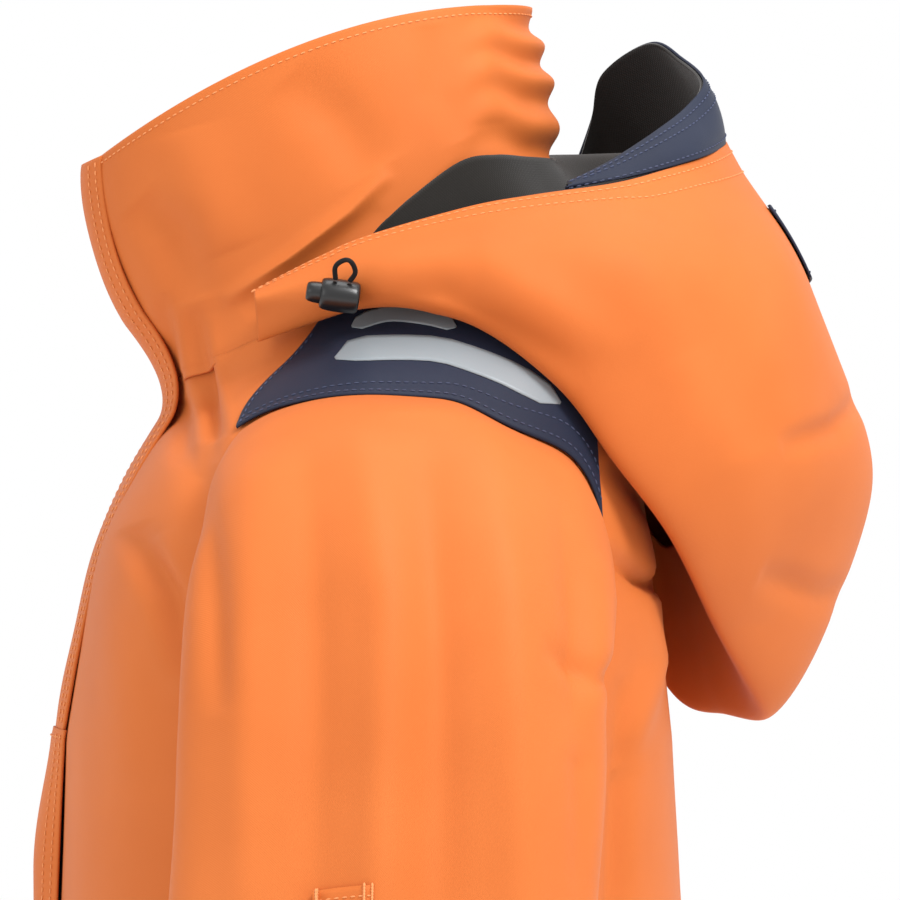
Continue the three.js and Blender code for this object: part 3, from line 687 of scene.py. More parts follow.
@dataclass(frozen=True)
class SewnPart:
    """A small sewn piece that keeps its node's outline, with rounded edges and a little slack."""

    node: str
    finish: Finish
    body: str
    slack: float = 0.6 * MM
    levels: int = 2
    crease: float = 0.8
    sharp: float = math.radians(50)

    def build(self) -> None:
        """Builds the piece from a merged copy of its node's mesh."""
        work = bmesh.new()
        work.from_mesh(frame["nodes"][self.node].data)
        bmesh.ops.remove_doubles(work, verts=work.verts, dist=1e-6)
        bmesh.ops.join_triangles(work, faces=work.faces, angle_face_threshold=math.radians(30),
                                 angle_shape_threshold=math.radians(70))
        creases = work.edges.layers.float.new("crease_edge")
        for edge in work.edges:
            if len(edge.link_faces) == 2 and edge.calc_face_angle(0.0) > self.sharp:
                edge[creases] = self.crease
        mesh = bpy.data.meshes.new(f"{self.node}_cloth")
        work.to_mesh(mesh)
        work.free()
        rough = new_object("sewn_part", mesh)
        smooth = rough.modifiers.new("smooth", "SUBSURF")
        smooth.levels = smooth.render_levels = self.levels
        made = baked_mesh(rough)
        made.polygons.foreach_set("use_smooth", [True] * len(made.polygons))
        points = np.array([vertex.co for vertex in made.vertices])
        outwards = points - np.array(BODY_AXIS)
        outwards[:, 2] = 0
        outwards /= np.maximum(np.linalg.norm(outwards, axis=1, keepdims=True), 1e-9)
        points = points + outwards * (swell(points, 0.06, 9) * self.slack)[:, None]
        made.vertices.foreach_set("co", points.reshape(-1))
        self.lay_weave(made)
        piece = new_object(f"{self.node}_cloth", made)
        settle(piece, self.finish, self.body, self.node)

    def lay_weave(self, mesh: bpy.types.Mesh) -> None:
        """Lays a UV map in metres over the mesh, square on to each face.

        Args:
            mesh: The mesh to map.
        """
        for old in list(mesh.uv_layers):
            mesh.uv_layers.remove(old)
        layer = mesh.uv_layers.new(name="cloth")
        for face in mesh.polygons:
            away = max(range(3), key=lambda axis: abs(face.normal[axis]))
            axes = [axis for axis in range(3) if axis != away]
            for corner in face.loop_indices:
                place = mesh.vertices[mesh.loops[corner].vertex_index].co
                layer.data[corner].uv = (place[axes[0]], place[axes[1]])


# ---------------------------------------------------------------- the body's form


@dataclass(frozen=True)
class Ring:
    """A closed section of the body or collar, which may slope from back to front. Millimetres."""

    half_width: float
    front: float
    back: float
    front_height: float
    back_height: float
    side_rise: float = 0.0

    def points(self, angle: np.ndarray, squareness: float) -> Points:
        """The section's points at angles from the centre front, in metres.

        Args:
            angle: Angles from the centre front, in radians.
            squareness: The section's superellipse exponent.

        Returns:
            The points, in metres.
        """
        power = 2 / squareness
        middle = (self.front + self.back) / 2
        half_depth = (self.back - self.front) / 2
        slope = (1 + np.cos(angle)) / 2
        height = self.back_height + (self.front_height - self.back_height) * slope
        return MM * np.stack([
            self.half_width * signed_power(np.sin(angle), power),
            middle - half_depth * signed_power(np.cos(angle), power),
            height + self.side_rise * np.sin(angle) ** 2,
        ], axis=-1)


@dataclass(frozen=True)
class BodyForm:
    """The worn shape under the shell: the surfaces that the panels, yokes and collar follow."""

    neck: Ring = Ring(88, -178, 0, -87, 0)
    shoulder: Ring = Ring(198, -222, 45, -150, -52)
    chest: Ring = Ring(190, -240, 63, -260, -260)
    hem: Ring = Ring(206, -259, 73, -800, -800)
    collar_top: Ring = Ring(80, -221, -8, 25, 103, 21)
    shoulder_side_height: float = -96
    front_fall: float = 1.5
    back_fall: float = 3.0
    squareness: float = 2.4
    shoulder_squareness: float = 0.86
    collar_bulge: float = 9.0
    front_lip: float = 5.0
    front_swell: float = 13.0
    neck_ease_up: float = 0.32
    neck_ease_down: float = 0.12

    def trunk(self, angle: np.ndarray, level: np.ndarray) -> Points:
        """The body's outer surface, eased into the collar: level 0 is the neck seam and 2 the hem.

        Args:
            angle: Angles from the centre front, in radians.
            level: 0 at the neck seam, 1 at the chest and 2 at the hem.

        Returns:
            The points, in metres.
        """
        angle, level = np.broadcast_arrays(angle, level)
        plain = self.plain_trunk(angle, level)
        share = 0.5 + 0.5 * np.clip(level / self.neck_ease_down, 0, 1)
        return np.where((level < self.neck_ease_down)[..., None], self.neck_curve(angle, share), plain)

    def collar(self, angle: np.ndarray, level: np.ndarray) -> Points:
        """The collar's outer surface, eased into the body: level 0 is its top and 1 the neck seam.

        Args:
            angle: Angles from the centre front, in radians.
            level: 0 at the top and 1 at the neck seam.

        Returns:
            The points, in metres.
        """
        angle, level = np.broadcast_arrays(angle, level)
        plain = self.plain_collar(angle, level)
        start = 1 - self.neck_ease_up
        share = 0.5 * np.clip((level - start) / self.neck_ease_up, 0, 1.2)
        return np.where((level > start)[..., None], self.neck_curve(angle, share), plain)

    def neck_curve(self, angle: np.ndarray, share: np.ndarray) -> Points:
        """The soft curve across the neck seam, from the collar at share 0 to the body at share 1.

        Args:
            angle: Angles from the centre front, in radians.
            share: 0 at the collar, 0.5 near the seam and 1 at the body.

        Returns:
            The points, in metres.
        """
        ones = np.ones_like(angle)
        above = self.plain_collar(angle, (1 - self.neck_ease_up) * ones)
        seam = self.plain_collar(angle, ones)
        below = self.plain_trunk(angle, self.neck_ease_down * ones)
        t = share[..., None]
        return (1 - t) ** 2 * above + 2 * t * (1 - t) * seam + t**2 * below

    def plain_trunk(self, angle: np.ndarray, level: np.ndarray) -> Points:
        """The body's surface before its neck is eased: level 0 is the neck seam and 2 the hem.

        Args:
            angle: Angles from the centre front, in radians.
            level: 0 at the neck seam, 1 at the chest and 2 at the hem.

        Returns:
            The points, in metres.
        """
        neck = self.neck.points(angle, 2)
        chest = self.chest.points(angle, self.squareness)
        hem = self.hem.points(angle, self.squareness)
        corner = self.shoulder.points(angle, self.squareness)
        ahead = np.cos(angle) > 0
        middle = np.where(ahead, self.shoulder.front_height, self.shoulder.back_height)
        share = np.abs(np.cos(angle)) ** np.where(ahead, self.front_fall, self.back_fall)
        corner[..., 2] = MM * (self.shoulder_side_height + (middle - self.shoulder_side_height) * share)
        leaving = neck + (corner - neck) * self.shoulder_squareness
        arriving = chest + (corner - chest) * self.shoulder_squareness
        t = np.clip(level, 0, 1)[..., None]
        upper = (1 - t) ** 3 * neck + 3 * (1 - t) ** 2 * t * leaving
        upper = upper + 3 * (1 - t) * t**2 * arriving + t**3 * chest
        lower = chest + (hem - chest) * np.clip(level - 1, 0, 1.1)[..., None]
        return np.where(level[..., None] < 1, upper, lower)

    def plain_collar(self, angle: np.ndarray, level: np.ndarray) -> Points:
        """The collar's surface before its foot is eased: level 0 is its top and 1 the neck seam.

        Args:
            angle: Angles from the centre front, in radians.
            level: 0 at the top and 1 at the neck seam.

        Returns:
            The points, in metres.
        """
        top = self.collar_top.points(angle, 2)
        base = self.neck.points(angle, 2)
        points = top + (base - top) * level[..., None]
        swell = MM * self.collar_bulge * np.sin(np.pi * np.clip(level, 0, 1)) * np.sin(angle / 2) ** 2
        points[..., 0] += swell * np.sin(angle)
        points[..., 1] -= swell * np.cos(angle)
        swell = self.front_lip * (1 - level) + self.front_swell * np.sin(np.pi * np.clip(level, 0, 1)) ** 0.8
        points[..., 1] -= MM * swell * ((1 + np.cos(angle)) / 2) ** 3
        return points


FORM = BodyForm()


NECK_FOLDS = (
    Fold(((-192, -40), (-187, -72), (-182, -100), (-186, -126)), -2.8, 3.6),
    Fold(((-184, -46), (-179, -74), (-175, -100), (-177, -128)), 2.4, 3.4),
    Fold(((-176, -48), (-172, -74), (-169, -98), (-168, -122)), -2.4, 3.4),
    Fold(((-168, -50), (-165, -74), (-162, -96), (-158, -116)), 1.8, 3.6),
)


def on_trunk(path: Sequence[Sequence[float]]) -> tuple[np.ndarray, np.ndarray]:
    """Finds the places on the trunk's left that lie behind points seen from the wearer's left.

    Args:
        path: (forward, up) places in millimetres.

    Returns:
        The places' angles in radians and their levels.
    """
    flat = np.array(path, float) * MM
    angles, levels = np.meshgrid(np.radians(np.linspace(4, 176, 173)), np.linspace(0.01, 1.2, 120))
    grid = FORM.trunk(angles, levels)[..., 1:].reshape(-1, 2)
    nearest = np.array([np.argmin(((grid - place) ** 2).sum(axis=1)) for place in flat])
    angle, level = angles.ravel()[nearest], levels.ravel()[nearest]
    step = 1e-4
    for _ in range(5):
        here = FORM.trunk(angle, level)[:, 1:]
        by_angle = (FORM.trunk(angle + step, level)[:, 1:] - here) / step
        by_level = (FORM.trunk(angle, level + step)[:, 1:] - here) / step
        miss = flat - here
        spread = by_angle[:, 0] * by_level[:, 1] - by_angle[:, 1] * by_level[:, 0]
        spread = np.where(np.abs(spread) < 1e-7, 1e-7, spread)
        turn = (miss[:, 0] * by_level[:, 1] - miss[:, 1] * by_level[:, 0]) / spread
        drop = (by_angle[:, 0] * miss[:, 1] - by_angle[:, 1] * miss[:, 0]) / spread
        angle = angle + np.clip(turn, -0.05, 0.05)
        level = level + np.clip(drop, -0.05, 0.05)
    return angle, np.clip(level, 0.01, 1.2)


def periodic(turns: Sequence[float], values: np.ndarray, where: np.ndarray) -> np.ndarray:
    """Runs smooth values round a closed ring.

    Args:
        turns: The knots' turns in degrees, growing.
        values: The knots' values, with any further axes last.
        where: The turns in degrees to evaluate at.

    Returns:
        The smoothed values at each turn.
    """
    knots = np.array(turns, float)
    fine = np.arange(0.0, 360.0, 1.0)
    columns = [np.interp(fine, knots, column, period=360) for column in np.atleast_2d(values.T)]
    width = np.arange(-12, 13)
    kernel = np.exp(-((width / 6.0) ** 2))
    kernel /= kernel.sum()
    smooth = [
        sum(weight * np.roll(column, shift) for weight, shift in zip(kernel, width)) for column in columns
    ]
    closed = np.append(fine, 360.0)
    found = [np.interp(where % 360, closed, np.append(column, column[0])) for column in smooth]
    return np.stack(found, axis=-1)


@dataclass(frozen=True)
class Armhole:
    """The seam where the left sleeve meets the body, as (turn, forward, up) knots.

    Turn 0 is the top of the shoulder and the turns grow backwards. Millimetres and degrees.
    """

    knots: tuple = (
        (0, -90, -91), (22, -52, -93), (36, -27, -107), (50, 2, -118), (62, 13, -134), (74, 18, -152),
        (95, 20, -182), (120, 8, -226), (150, -30, -268), (180, -88, -286), (210, -132, -268),
        (240, -156, -226), (262, -165, -182), (284, -166, -146), (300, -163, -122), (316, -157, -108),
        (330, -141, -99), (345, -118, -93),
    )

    def places(self, turn: np.ndarray) -> tuple[np.ndarray, np.ndarray]:
        """The seam's angle and level on the trunk at each turn, which is in degrees.

        Args:
            turn: Turns round the seam, in degrees.

        Returns:
            The places' angles in radians, and their levels.
        """
        table = np.array(self.knots, float)
        angle, level = on_trunk(table[:, 1:])
        found = periodic(table[:, 0], np.stack([angle, level], axis=1), turn)
        return found[..., 0], found[..., 1]


ARMHOLE = Armhole()


# ---------------------------------------------------------------- the trunk


@dataclass
class Trunk:
    """The body's orange panels, from the neck seam to the hem."""

    zip_edge: float = 8.6
    front_neck_angle: float = 90.0
    rear_neck_angle: float = 130.0
    thickness: float = 1.4 * MM
    tuck: float = 3.0
    side_overlap: float = 0.02
    rows: int = 190

    def front_angle(self, level: np.ndarray) -> np.ndarray:
        """The angle of a front panel's zip edge at each level, in radians.

        Args:
            level: The trunk's levels.

        Returns:
            The angle at each level.
        """
        width = np.where(level >= 1, 190 + 16 * (level - 1), 88 + 102 * np.clip(level, 0, 1))
        upper = 1 + (FORM.squareness / 2 - 1) * np.clip(level, 0, 1)
        power = np.where(level >= 1, FORM.squareness / 2, upper)
        return np.arcsin((self.zip_edge / width) ** power)

    def arm_edge(self, level: np.ndarray, rear: bool) -> np.ndarray:
        """The angle of a panel's edge: under the yoke, then the armhole, then the side seam.

        Args:
            level: The trunk's levels.
            rear: Whether the panel is the back one.

        Returns:
            The angle at each level, in radians.
        """
        turns = np.linspace(72, 180, 91) if rear else np.linspace(314, 180, 91)
        angle, height = ARMHOLE.places(turns)
        inward = math.radians(-self.tuck if rear else self.tuck)
        neck = math.radians(self.rear_neck_angle if rear else self.front_neck_angle)
        heights = np.concatenate([[0.0], np.maximum.accumulate(height)])
        angles = np.concatenate([[neck], angle + inward])
        edge = np.interp(level, heights, angles)
        below = smoothstep(level, heights[-1] - 0.03, heights[-1])
        return edge * (1 - below) + (math.pi / 2 - (self.side_overlap if rear else 0.0)) * below

    def levels(self, v: np.ndarray) -> np.ndarray:
        """Panel levels for rows, with more rows above the chest line."""
        return np.where(v < 0.62, v * 1.7342, 1.0752 + (v - 0.62) * 2.4337)

    def folded(self, points: Points) -> Points:
        """The panels' shared folds and rumples.

        Args:
            points: The grid.

        Returns:
            The folded grid.
        """
        near = smoothstep(points[..., 0], -0.02, 0.03)
        folds = NECK_FOLDS + (
            Fold(((-208, -156), (-192, -188), (-181, -228)), -9, 8, 0.9),
            Fold(((-196, -158), (-185, -195), (-178, -240)), 4, 8),
            Fold(((-176, -70), (-172, -92), (-170, -112)), -5.5, 7, 0.3),
            Fold(((-186, -92), (-178, -120), (-172, -160)), -4.5, 9, 0.3),
            Fold(((-222, -120), (-215, -190), (-204, -290)), 3.0, 14),
            Fold(((24, -120), (52, -150), (70, -200)), -6, 9, 0.6),
            Fold(((20, -166), (42, -183), (66, -188)), -6.5, 5, 0.8),
            Fold(((38, -184), (48, -220), (32, -262)), 6, 8),
            Fold(((30, -226), (27, -300), (26, -380)), -5.5, 6, -0.5),
            Fold(((-170, -330), (-150, -420), (-160, -560)), 3, 24),
            Fold(((60, -230), (52, -330), (58, -470)), 3, 20),
        )
        points = fold_cloth(points, folds, near)
        return rumple(points, *SHARED_SWELL)

    def build(self) -> None:
        """Builds the panels."""
        self.front_panels()
        self.back_panel()

    def front_panels(self) -> None:
        """The front panels, from the zip to the shoulder seam, armhole and side seam."""

        def surface(u: np.ndarray, v: np.ndarray) -> Points:
            """The left panel's form.

            Args:
                u: Shares across the piece.
                v: Shares down it.

            Returns:
                The points, in metres.
            """
            level = self.levels(v)
            start = self.front_angle(level)
            return FORM.trunk(start + (self.arm_edge(level, False) - start) * u, level)

        points = self.folded(mesh_points(surface, self.rows, 90))
        seam = seam_surface(points)
        STITCHES.mirrored("jacket", "jacket", seam[-4], seam[100:, -3])
        for label, side in (("left", 1), ("right", -1)):
            piece = grid_object(f"{label}_front_panel_cloth", points * [side, 1, 1], flip=side < 0)
            thicken(piece, self.thickness)
            settle(piece, Finish.ORANGE, "jacket", f"{label}_front_panel")

    def back_panel(self) -> None:
        """The back panel, from side seam to side seam."""

        def surface(u: np.ndarray, v: np.ndarray) -> Points:
            """The panel's form.

            Args:
                u: Shares across the piece.
                v: Shares down it.

            Returns:
                The points, in metres.
            """
            level = self.levels(v)
            start = self.arm_edge(level, True)
            return FORM.trunk(start + (TAU - 2 * start) * u, level)

        points = self.folded(mesh_points(surface, self.rows, 160))
        beyond = np.linspace(0, 1, 161)
        under = 1 - smoothstep(np.minimum(beyond, 1 - beyond), 0.0, 0.02)
        points = points - normals(points) * (0.7 * MM * under)[None, :, None]
        STITCHES.run("jacket", seam_surface(points)[-4])
        piece = grid_object("back_panel_cloth", points)
        thicken(piece, self.thickness)
        settle(piece, Finish.ORANGE, "jacket", "back_panel")


@dataclass
class Yoke:
    """The navy shoulder overlay and its reflective stripes, over the left or right shoulder."""

    front_neck: float = 76.0
    rear_neck: float = 150.0
    front_turn: float = 316.0
    rear_turn: float = 434.0
    neck_level: float = 0.02
    front_bow: float = 6.5
    lift: float = 1.9 * MM
    thickness: float = 1.2 * MM
    stripe_lift: float = 0.5 * MM
    upper_stripe: tuple = ((-102, -54), (-92, -49.5), (-80, -47.5), (-60, -50.5), (-49, -55))
    lower_stripe: tuple = (
        (-112, -68), (-102, -63.5), (-86, -62), (-60, -63), (-40, -69), (-20, -77.5), (1, -90),
    )

    def surface(self, u: np.ndarray, v: np.ndarray) -> Points:
        """The overlay's form: u runs from the front to the back, v from the neck to the sleeve.

        Args:
            u: Shares from the front to the back.
            v: Shares from the neck to the sleeve.

        Returns:
            The points, in metres.
        """
        turn = self.front_turn + (self.rear_turn - self.front_turn) * u
        outer_angle, outer_level = ARMHOLE.places(turn)
        inner_angle = np.radians(self.front_neck + (self.rear_neck - self.front_neck) * u)
        angle = inner_angle + (outer_angle - inner_angle) * v
        angle = angle - math.radians(self.front_bow) * 4 * v * (1 - v) * (1 - u) ** 6
        return FORM.trunk(angle, self.neck_level + (outer_level - self.neck_level) * v)

    def build(self) -> None:
        """Builds both overlays and their stripes."""
        points = Trunk().folded(mesh_points(self.surface, 50, 110))
        edge = smoothstep(np.linspace(0, 1, 51), 0.86, 1.0)[:, None]
        points = points + normals(points) * (self.lift + 1.2 * MM * edge)[..., None]
        seam = seam_surface(points)
        NAVY_STITCHES.mirrored("jacket", "jacket", seam[48, 2:-2], seam[44, 2:-2], seam[6:48, 2])
        for label, side in (("left", 1), ("right", -1)):
            piece = grid_object(f"{label}_yoke_cloth", points * [side, 1, 1], flip=side < 0)
            thicken(piece, self.thickness)
            settle(piece, Finish.NAVY, "jacket", f"{label}_yoke")
            self.stripe(label, side, "upper", self.upper_stripe, 7.6)
            self.stripe(label, side, "lower", self.lower_stripe, 12.2)

    def stripe(self, label: str, side: int, which: str, path: tuple, width: float) -> None:
        """One reflective stripe along a path seen from the side, with angled ends.

        Args:
            label: The side, left or right.
            side: 1 on the wearer's left and -1 on the right.
            which: The stripe, upper or lower.
            path: Its top edge, as (forward, up) places in millimetres.
            width: Its width in millimetres, as seen from the side.
        """
        share = np.linspace(0, 1, 61)
        knots = np.array([(0, y, z) for y, z in path])
        line = rail(knots, share)[:, 1:] / MM
        along = np.gradient(line, axis=0)
        along /= np.linalg.norm(along, axis=1, keepdims=True)
        down = np.stack([along[:, 1], -along[:, 0]], axis=1)
        down *= np.where(down[:, 1:] > 0, -1, 1)
        full = np.clip(0.1 + np.minimum(share, 1 - share) * 9, 0.1, 1)
        rows = []
        for row in np.linspace(0, 1, 9):
            shift = width * (0.5 + (row - 0.5) * full)
            rows.append(on_trunk((line + down * shift[:, None])[::5]))
        angle, level = (np.stack([row[k] for row in rows]) for k in (0, 1))
        stations = np.arange(61)[::5]
        angle, level = (np.stack([np.interp(np.arange(61), stations, row) for row in rows])
                        for rows in (angle, level))
        points = Trunk().folded(FORM.trunk(angle, level))
        points = points + normals(points) * (self.lift + self.stripe_lift)
        piece = grid_object(f"{label}_{which}_stripe_film", points * [side, 1, 1], flip=side < 0)
        thicken(piece, 0.4 * MM)
        settle(piece, Finish.SILVER, "jacket", f"{label}_{which}_stripe")


# ---------------------------------------------------------------- the collar


@dataclass
class Collar:
    """The tall collar: an orange shell with a black fleece lining, and the placket over its zip."""

    opening: float = 6.0
    thickness: float = 1.6 * MM
    collar_share: float = 0.42
    arch: float = 3.0
    placket_half_width: float = 26.0

    def build(self) -> None:
        """Builds the shell, the lining and the placket."""

        def surface(u: np.ndarray, v: np.ndarray) -> Points:
            """The collar's form, from the left front edge round to the right.

            Args:
                u: Shares across the piece.
                v: Shares down it.

            Returns:
                The points, in metres.
            """
            return FORM.collar(np.radians(self.opening + (360 - 2 * self.opening) * u), v * 1.04)

        plain = mesh_points(surface, 90, 240)
        points = self.folded(plain)
        under = smoothstep(np.linspace(0, 1.04, 91), 0.97, 1.0)[:, None, None]
        points = points - normals(points) * under * 0.5 * MM
        STITCHES.run("jacket", seam_surface(points)[3])
        shell = grid_object("collar_shell_cloth", points)
        thicken(shell, self.thickness)
        settle(shell, Finish.ORANGE, "jacket", "collar_shell")
        inside = points - normals(plain) * 3.2 * MM
        inside[0] = points[0] - normals(points)[0] * 2.2 * MM
        lining = grid_object("collar_lining_fleece", inside[1:-2])
        thicken(lining, 2.0 * MM)
        settle(lining, Finish.FLEECE, "jacket", "collar_lining")
        self.placket()

    def folded(self, points: Points) -> Points:
        """The collar's dents, its crumpled back and the roll above the hood.

        Args:
            points: The grid.

        Returns:
            The folded grid.
        """
        back = smoothstep(points[..., 1], -0.05, -0.006)
        height = points[..., 2] / MM
        slant = 9 * np.sin(points[..., 1] / (11 * MM)) + 6 * np.sin(points[..., 0] / (14 * MM))
        ripple = np.sin((height + 4 + slant * (1 - back)) * TAU / 21 + 0.7 * np.sin(height / 13))
        points = points + normals(points) * (2.5 * MM * back * ripple)[..., None]
        folds = NECK_FOLDS + (
            Fold(((-162, -46), (-128, -24), (-100, -2), (-80, 18)), 5.0, 4.6, 0.7),
            Fold(((-152, -50), (-124, -33), (-98, -10), (-86, 2)), -2.6, 4.6),
            Fold(((-132, 64), (-108, 44), (-92, 18)), -4.6, 15, 0.3),
            Fold(((-205, 4), (-188, -12), (-178, -44)), -5.5, 11, 0.3),
            Fold(((-180, 40), (-172, 10), (-160, -20)), 3.4, 16),
            Fold(((-60, 92), (-56, 60), (-44, 36)), -2.0, 9),
            Fold(((-30, 100), (-34, 70), (-30, 44)), 2.0, 7),
        )
        near = smoothstep(points[..., 0], -0.02, 0.03)
        return rumple(fold_cloth(points, folds, near), *SHARED_SWELL)

    def placket(self) -> None:
        """The cover over the zip, from the collar's top down to the storm flap."""
        share = self.collar_share

        def surface(u: np.ndarray, v: np.ndarray) -> Points:
            """The cover's form, from the wearer's right edge to the left one.

            Args:
                u: Shares across the piece.
                v: Shares down it.

            Returns:
                The points, in metres.
            """
            x = self.placket_half_width * (2 * u - 1)
            level = np.where(v < share, v / share, (v - share) / (1 - share) * 0.99)
            width = 80 + 8 * level
            on_collar = FORM.collar(np.arcsin(x / width), 0.005 + level * 0.995)
            power = 1 + (FORM.squareness / 2 - 1) * level
            angle = np.sign(x) * np.arcsin((np.abs(x) / (88 + 102 * level)) ** power)
            on_chest = FORM.trunk(angle, level)
            return np.where((v < share)[..., None], on_collar, on_chest)

        points = mesh_points(surface, 160, 44)
        across = np.linspace(-1, 1, 45)[None, :]
        lift = (1.8 + self.arch * (1 - np.abs(across) ** 2.4)) * MM * np.ones((161, 1))
        points = points + normals(points) * lift[..., None]
        points = rumple(points, 0.07, 0.9 * MM, 4)
        seam = points + normals(points) * 0.3 * MM
        STITCHES.run("jacket", seam[2:-2, 3], seam[2:-2, 8], seam[2:-2, -4], seam[2:-2, -9])
        piece = grid_object("collar_placket_cloth", points)
        thicken(piece, self.thickness)
        settle(piece, Finish.ORANGE, "jacket", "collar_placket")


# ---------------------------------------------------------------- the sleeves


@dataclass
class Sleeve:
    """A sleeve, from the armhole seam to the cuff."""

    outer: tuple = ((180, -93, -100), (216, -93, -105), (250, -92, -129), (279, -91, -190),
                    (300, -92, -320), (317, -102, -520), (326, -118, -690))
    inner: tuple = ((186, -90, -268), (199, -90, -276), (205, -90, -297), (211, -91, -334),
                    (218, -92, -400), (226, -102, -530), (238, -118, -690))
    half_depths: tuple = (84, 93, 98, 101, 101, 87, 66)
    squareness: float = 2.2
    head: float = 0.42
    thickness: float = 1.4 * MM
    bend_start: tuple[float, float] = (0.186, -0.19)
    bend_end: tuple[float, float] = (0.262, -0.22)
    pocket_front: float = -18.0
    pocket_rear: float = -3.0
    pocket_top: float = 0.425
    pocket_bottom: float = 0.6

    def form(self, turn: np.ndarray, level: np.ndarray) -> Points:
        """The left sleeve's surface: turn 0 is its outer side, growing backwards, in radians.

        Args:
            turn: Turns from the outer side, growing backwards, in radians.
            level: 0 at the shoulder and 1 at the wrist.

        Returns:
            The points, in metres.
        """
        power = 2 / self.squareness
        outer, inner = rail(self.outer, level), rail(self.inner, level)
        across = signed_power(np.cos(turn), power)
        points = (outer + inner) / 2 + (outer - inner) * (across / 2)[..., None]
        lengths = np.linalg.norm(np.diff(np.array(self.outer, float), axis=0), axis=1)
        stations = np.concatenate([[0], np.cumsum(lengths)]) / lengths.sum()
        depth = np.interp(level, stations, self.half_depths) * MM
        points[..., 1] += depth * signed_power(np.sin(turn), power)
        return points

    def headed(self, turn: np.ndarray, level: np.ndarray) -> Points:
        """The sleeve with its head eased into the armhole seam.

        Args:
            turn: Turns from the outer side, growing backwards, in radians.
            level: 0 at the shoulder and 1 at the wrist.

        Returns:
            The points, in metres.
        """
        angle, height = ARMHOLE.places(np.degrees(turn))
        seam = FORM.trunk(angle, height)
        share = np.clip(1 - level / self.head, 0, 1)
        blend = (share**2.2)[..., None]
        start = self.form(turn, np.zeros_like(level))
        return self.form(turn, level) + (seam - start) * blend

    def folded(self, points: Points, level: np.ndarray) -> Points:
        """The broad folds that hang from the shoulder and the creases behind the arm.

        Args:
            points: The grid.
            level: How far down the sleeve each point is.

        Returns:
            The folded grid.
        """
        folds = (
            Fold(((-104, -98), (-95, -190), (-99, -320), (-106, -460)), 6.5, 13, 0.5),
            Fold(((-44, -100), (-36, -190), (-32, -330), (-28, -460)), 6.5, 14, 0.5),
            Fold(((-72, -98), (-66, -220), (-68, -380)), -6.5, 12),
            Fold(((-128, -110), (-126, -220), (-130, -360)), -4.5, 10, 0.3),
            Fold(((-152, -118), (-156, -210), (-158, -360)), 4.0, 11),
            Fold(((-8, -120), (-2, -200), (0, -340)), -5.0, 9, 0.5),
            Fold(((18, -152), (26, -172), (30, -200)), -6.5, 5, 0.7),
            Fold(((12, -166), (10, -210), (-2, -262)), 4.5, 8),
            Fold(((24, -190), (20, -240), (24, -320)), -4.5, 6),
            Fold(((-176, -126), (-172, -176), (-170, -240)), -4.0, 7, 0.4),
            Fold(((-20, -210), (8, -226), (30, -222)), -4.0, 6, 0.4),
            Fold(((-140, -400), (-100, -432), (-40, -425)), -6.0, 11, 0.5),
            Fold(((-150, -450), (-100, -470), (-30, -462)), 5.5, 11),
            Fold(((-150, -490), (-100, -506), (-40, -500)), -5.5, 10, 0.4),
            Fold(((-160, -560), (-110, -590), (-50, -600)), -4.5, 14),
        )
        outside = smoothstep(points[..., 0], 0.17, 0.215) * smoothstep(level, 0.0, 0.05)
        points = fold_cloth(points, folds, outside, around=True)
        return rumple(points, 0.13, 1.2 * MM, 11, around=True)

    def pocket(self) -> None:
        """The small pocket on the left sleeve, with a bartack at each top corner."""
        u, v = np.meshgrid(np.linspace(0, 1, 25), np.linspace(0, 1, 45))
        turn = np.radians(self.pocket_front + (self.pocket_rear - self.pocket_front) * u)
        level = self.pocket_top + (self.pocket_bottom - self.pocket_top) * v
        points = self.folded(self.headed(turn, level), level)
        out = normals(points)
        piece = grid_object("left_sleeve_pocket_cloth", points + out * 1.5 * MM)
        thicken(piece, 1.1 * MM)
        settle(piece, Finish.ORANGE, "left_sleeve", "left_sleeve_pocket")
        seam = points + out * 1.7 * MM
        STITCHES.run("left_sleeve", seam[1:, 2], seam[1:, -3], seam[2], seam[5])
        bars = [seam[0:6, column] + out[0:6, column] * 0.3 * MM for column in (0, 1, 2, 22, 23, 24)]
        BARTACKS.run("left_sleeve", *bars)

    def build(self) -> None:
        """Builds both sleeves."""
        self.pocket()
        u, v = np.meshgrid(np.linspace(0, 1, 181)[:180], np.linspace(0, 1, 211) ** 1.15)
        points = self.folded(self.headed(u * TAU, v), v)
        seam = seam_surface(points, around=True)
        STITCHES.mirrored("left_sleeve", "right_sleeve", seam[-4], seam[-9])
        for label, side in (("left", 1), ("right", -1)):
            piece = grid_object(f"{label}_sleeve_cloth", points * [side, 1, 1], around=True, flip=side < 0)
            thicken(piece, self.thickness)
            Finish.ORANGE.dress(piece)
            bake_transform(piece)
            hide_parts(f"{label}_sleeve")


# ---------------------------------------------------------------- the hood


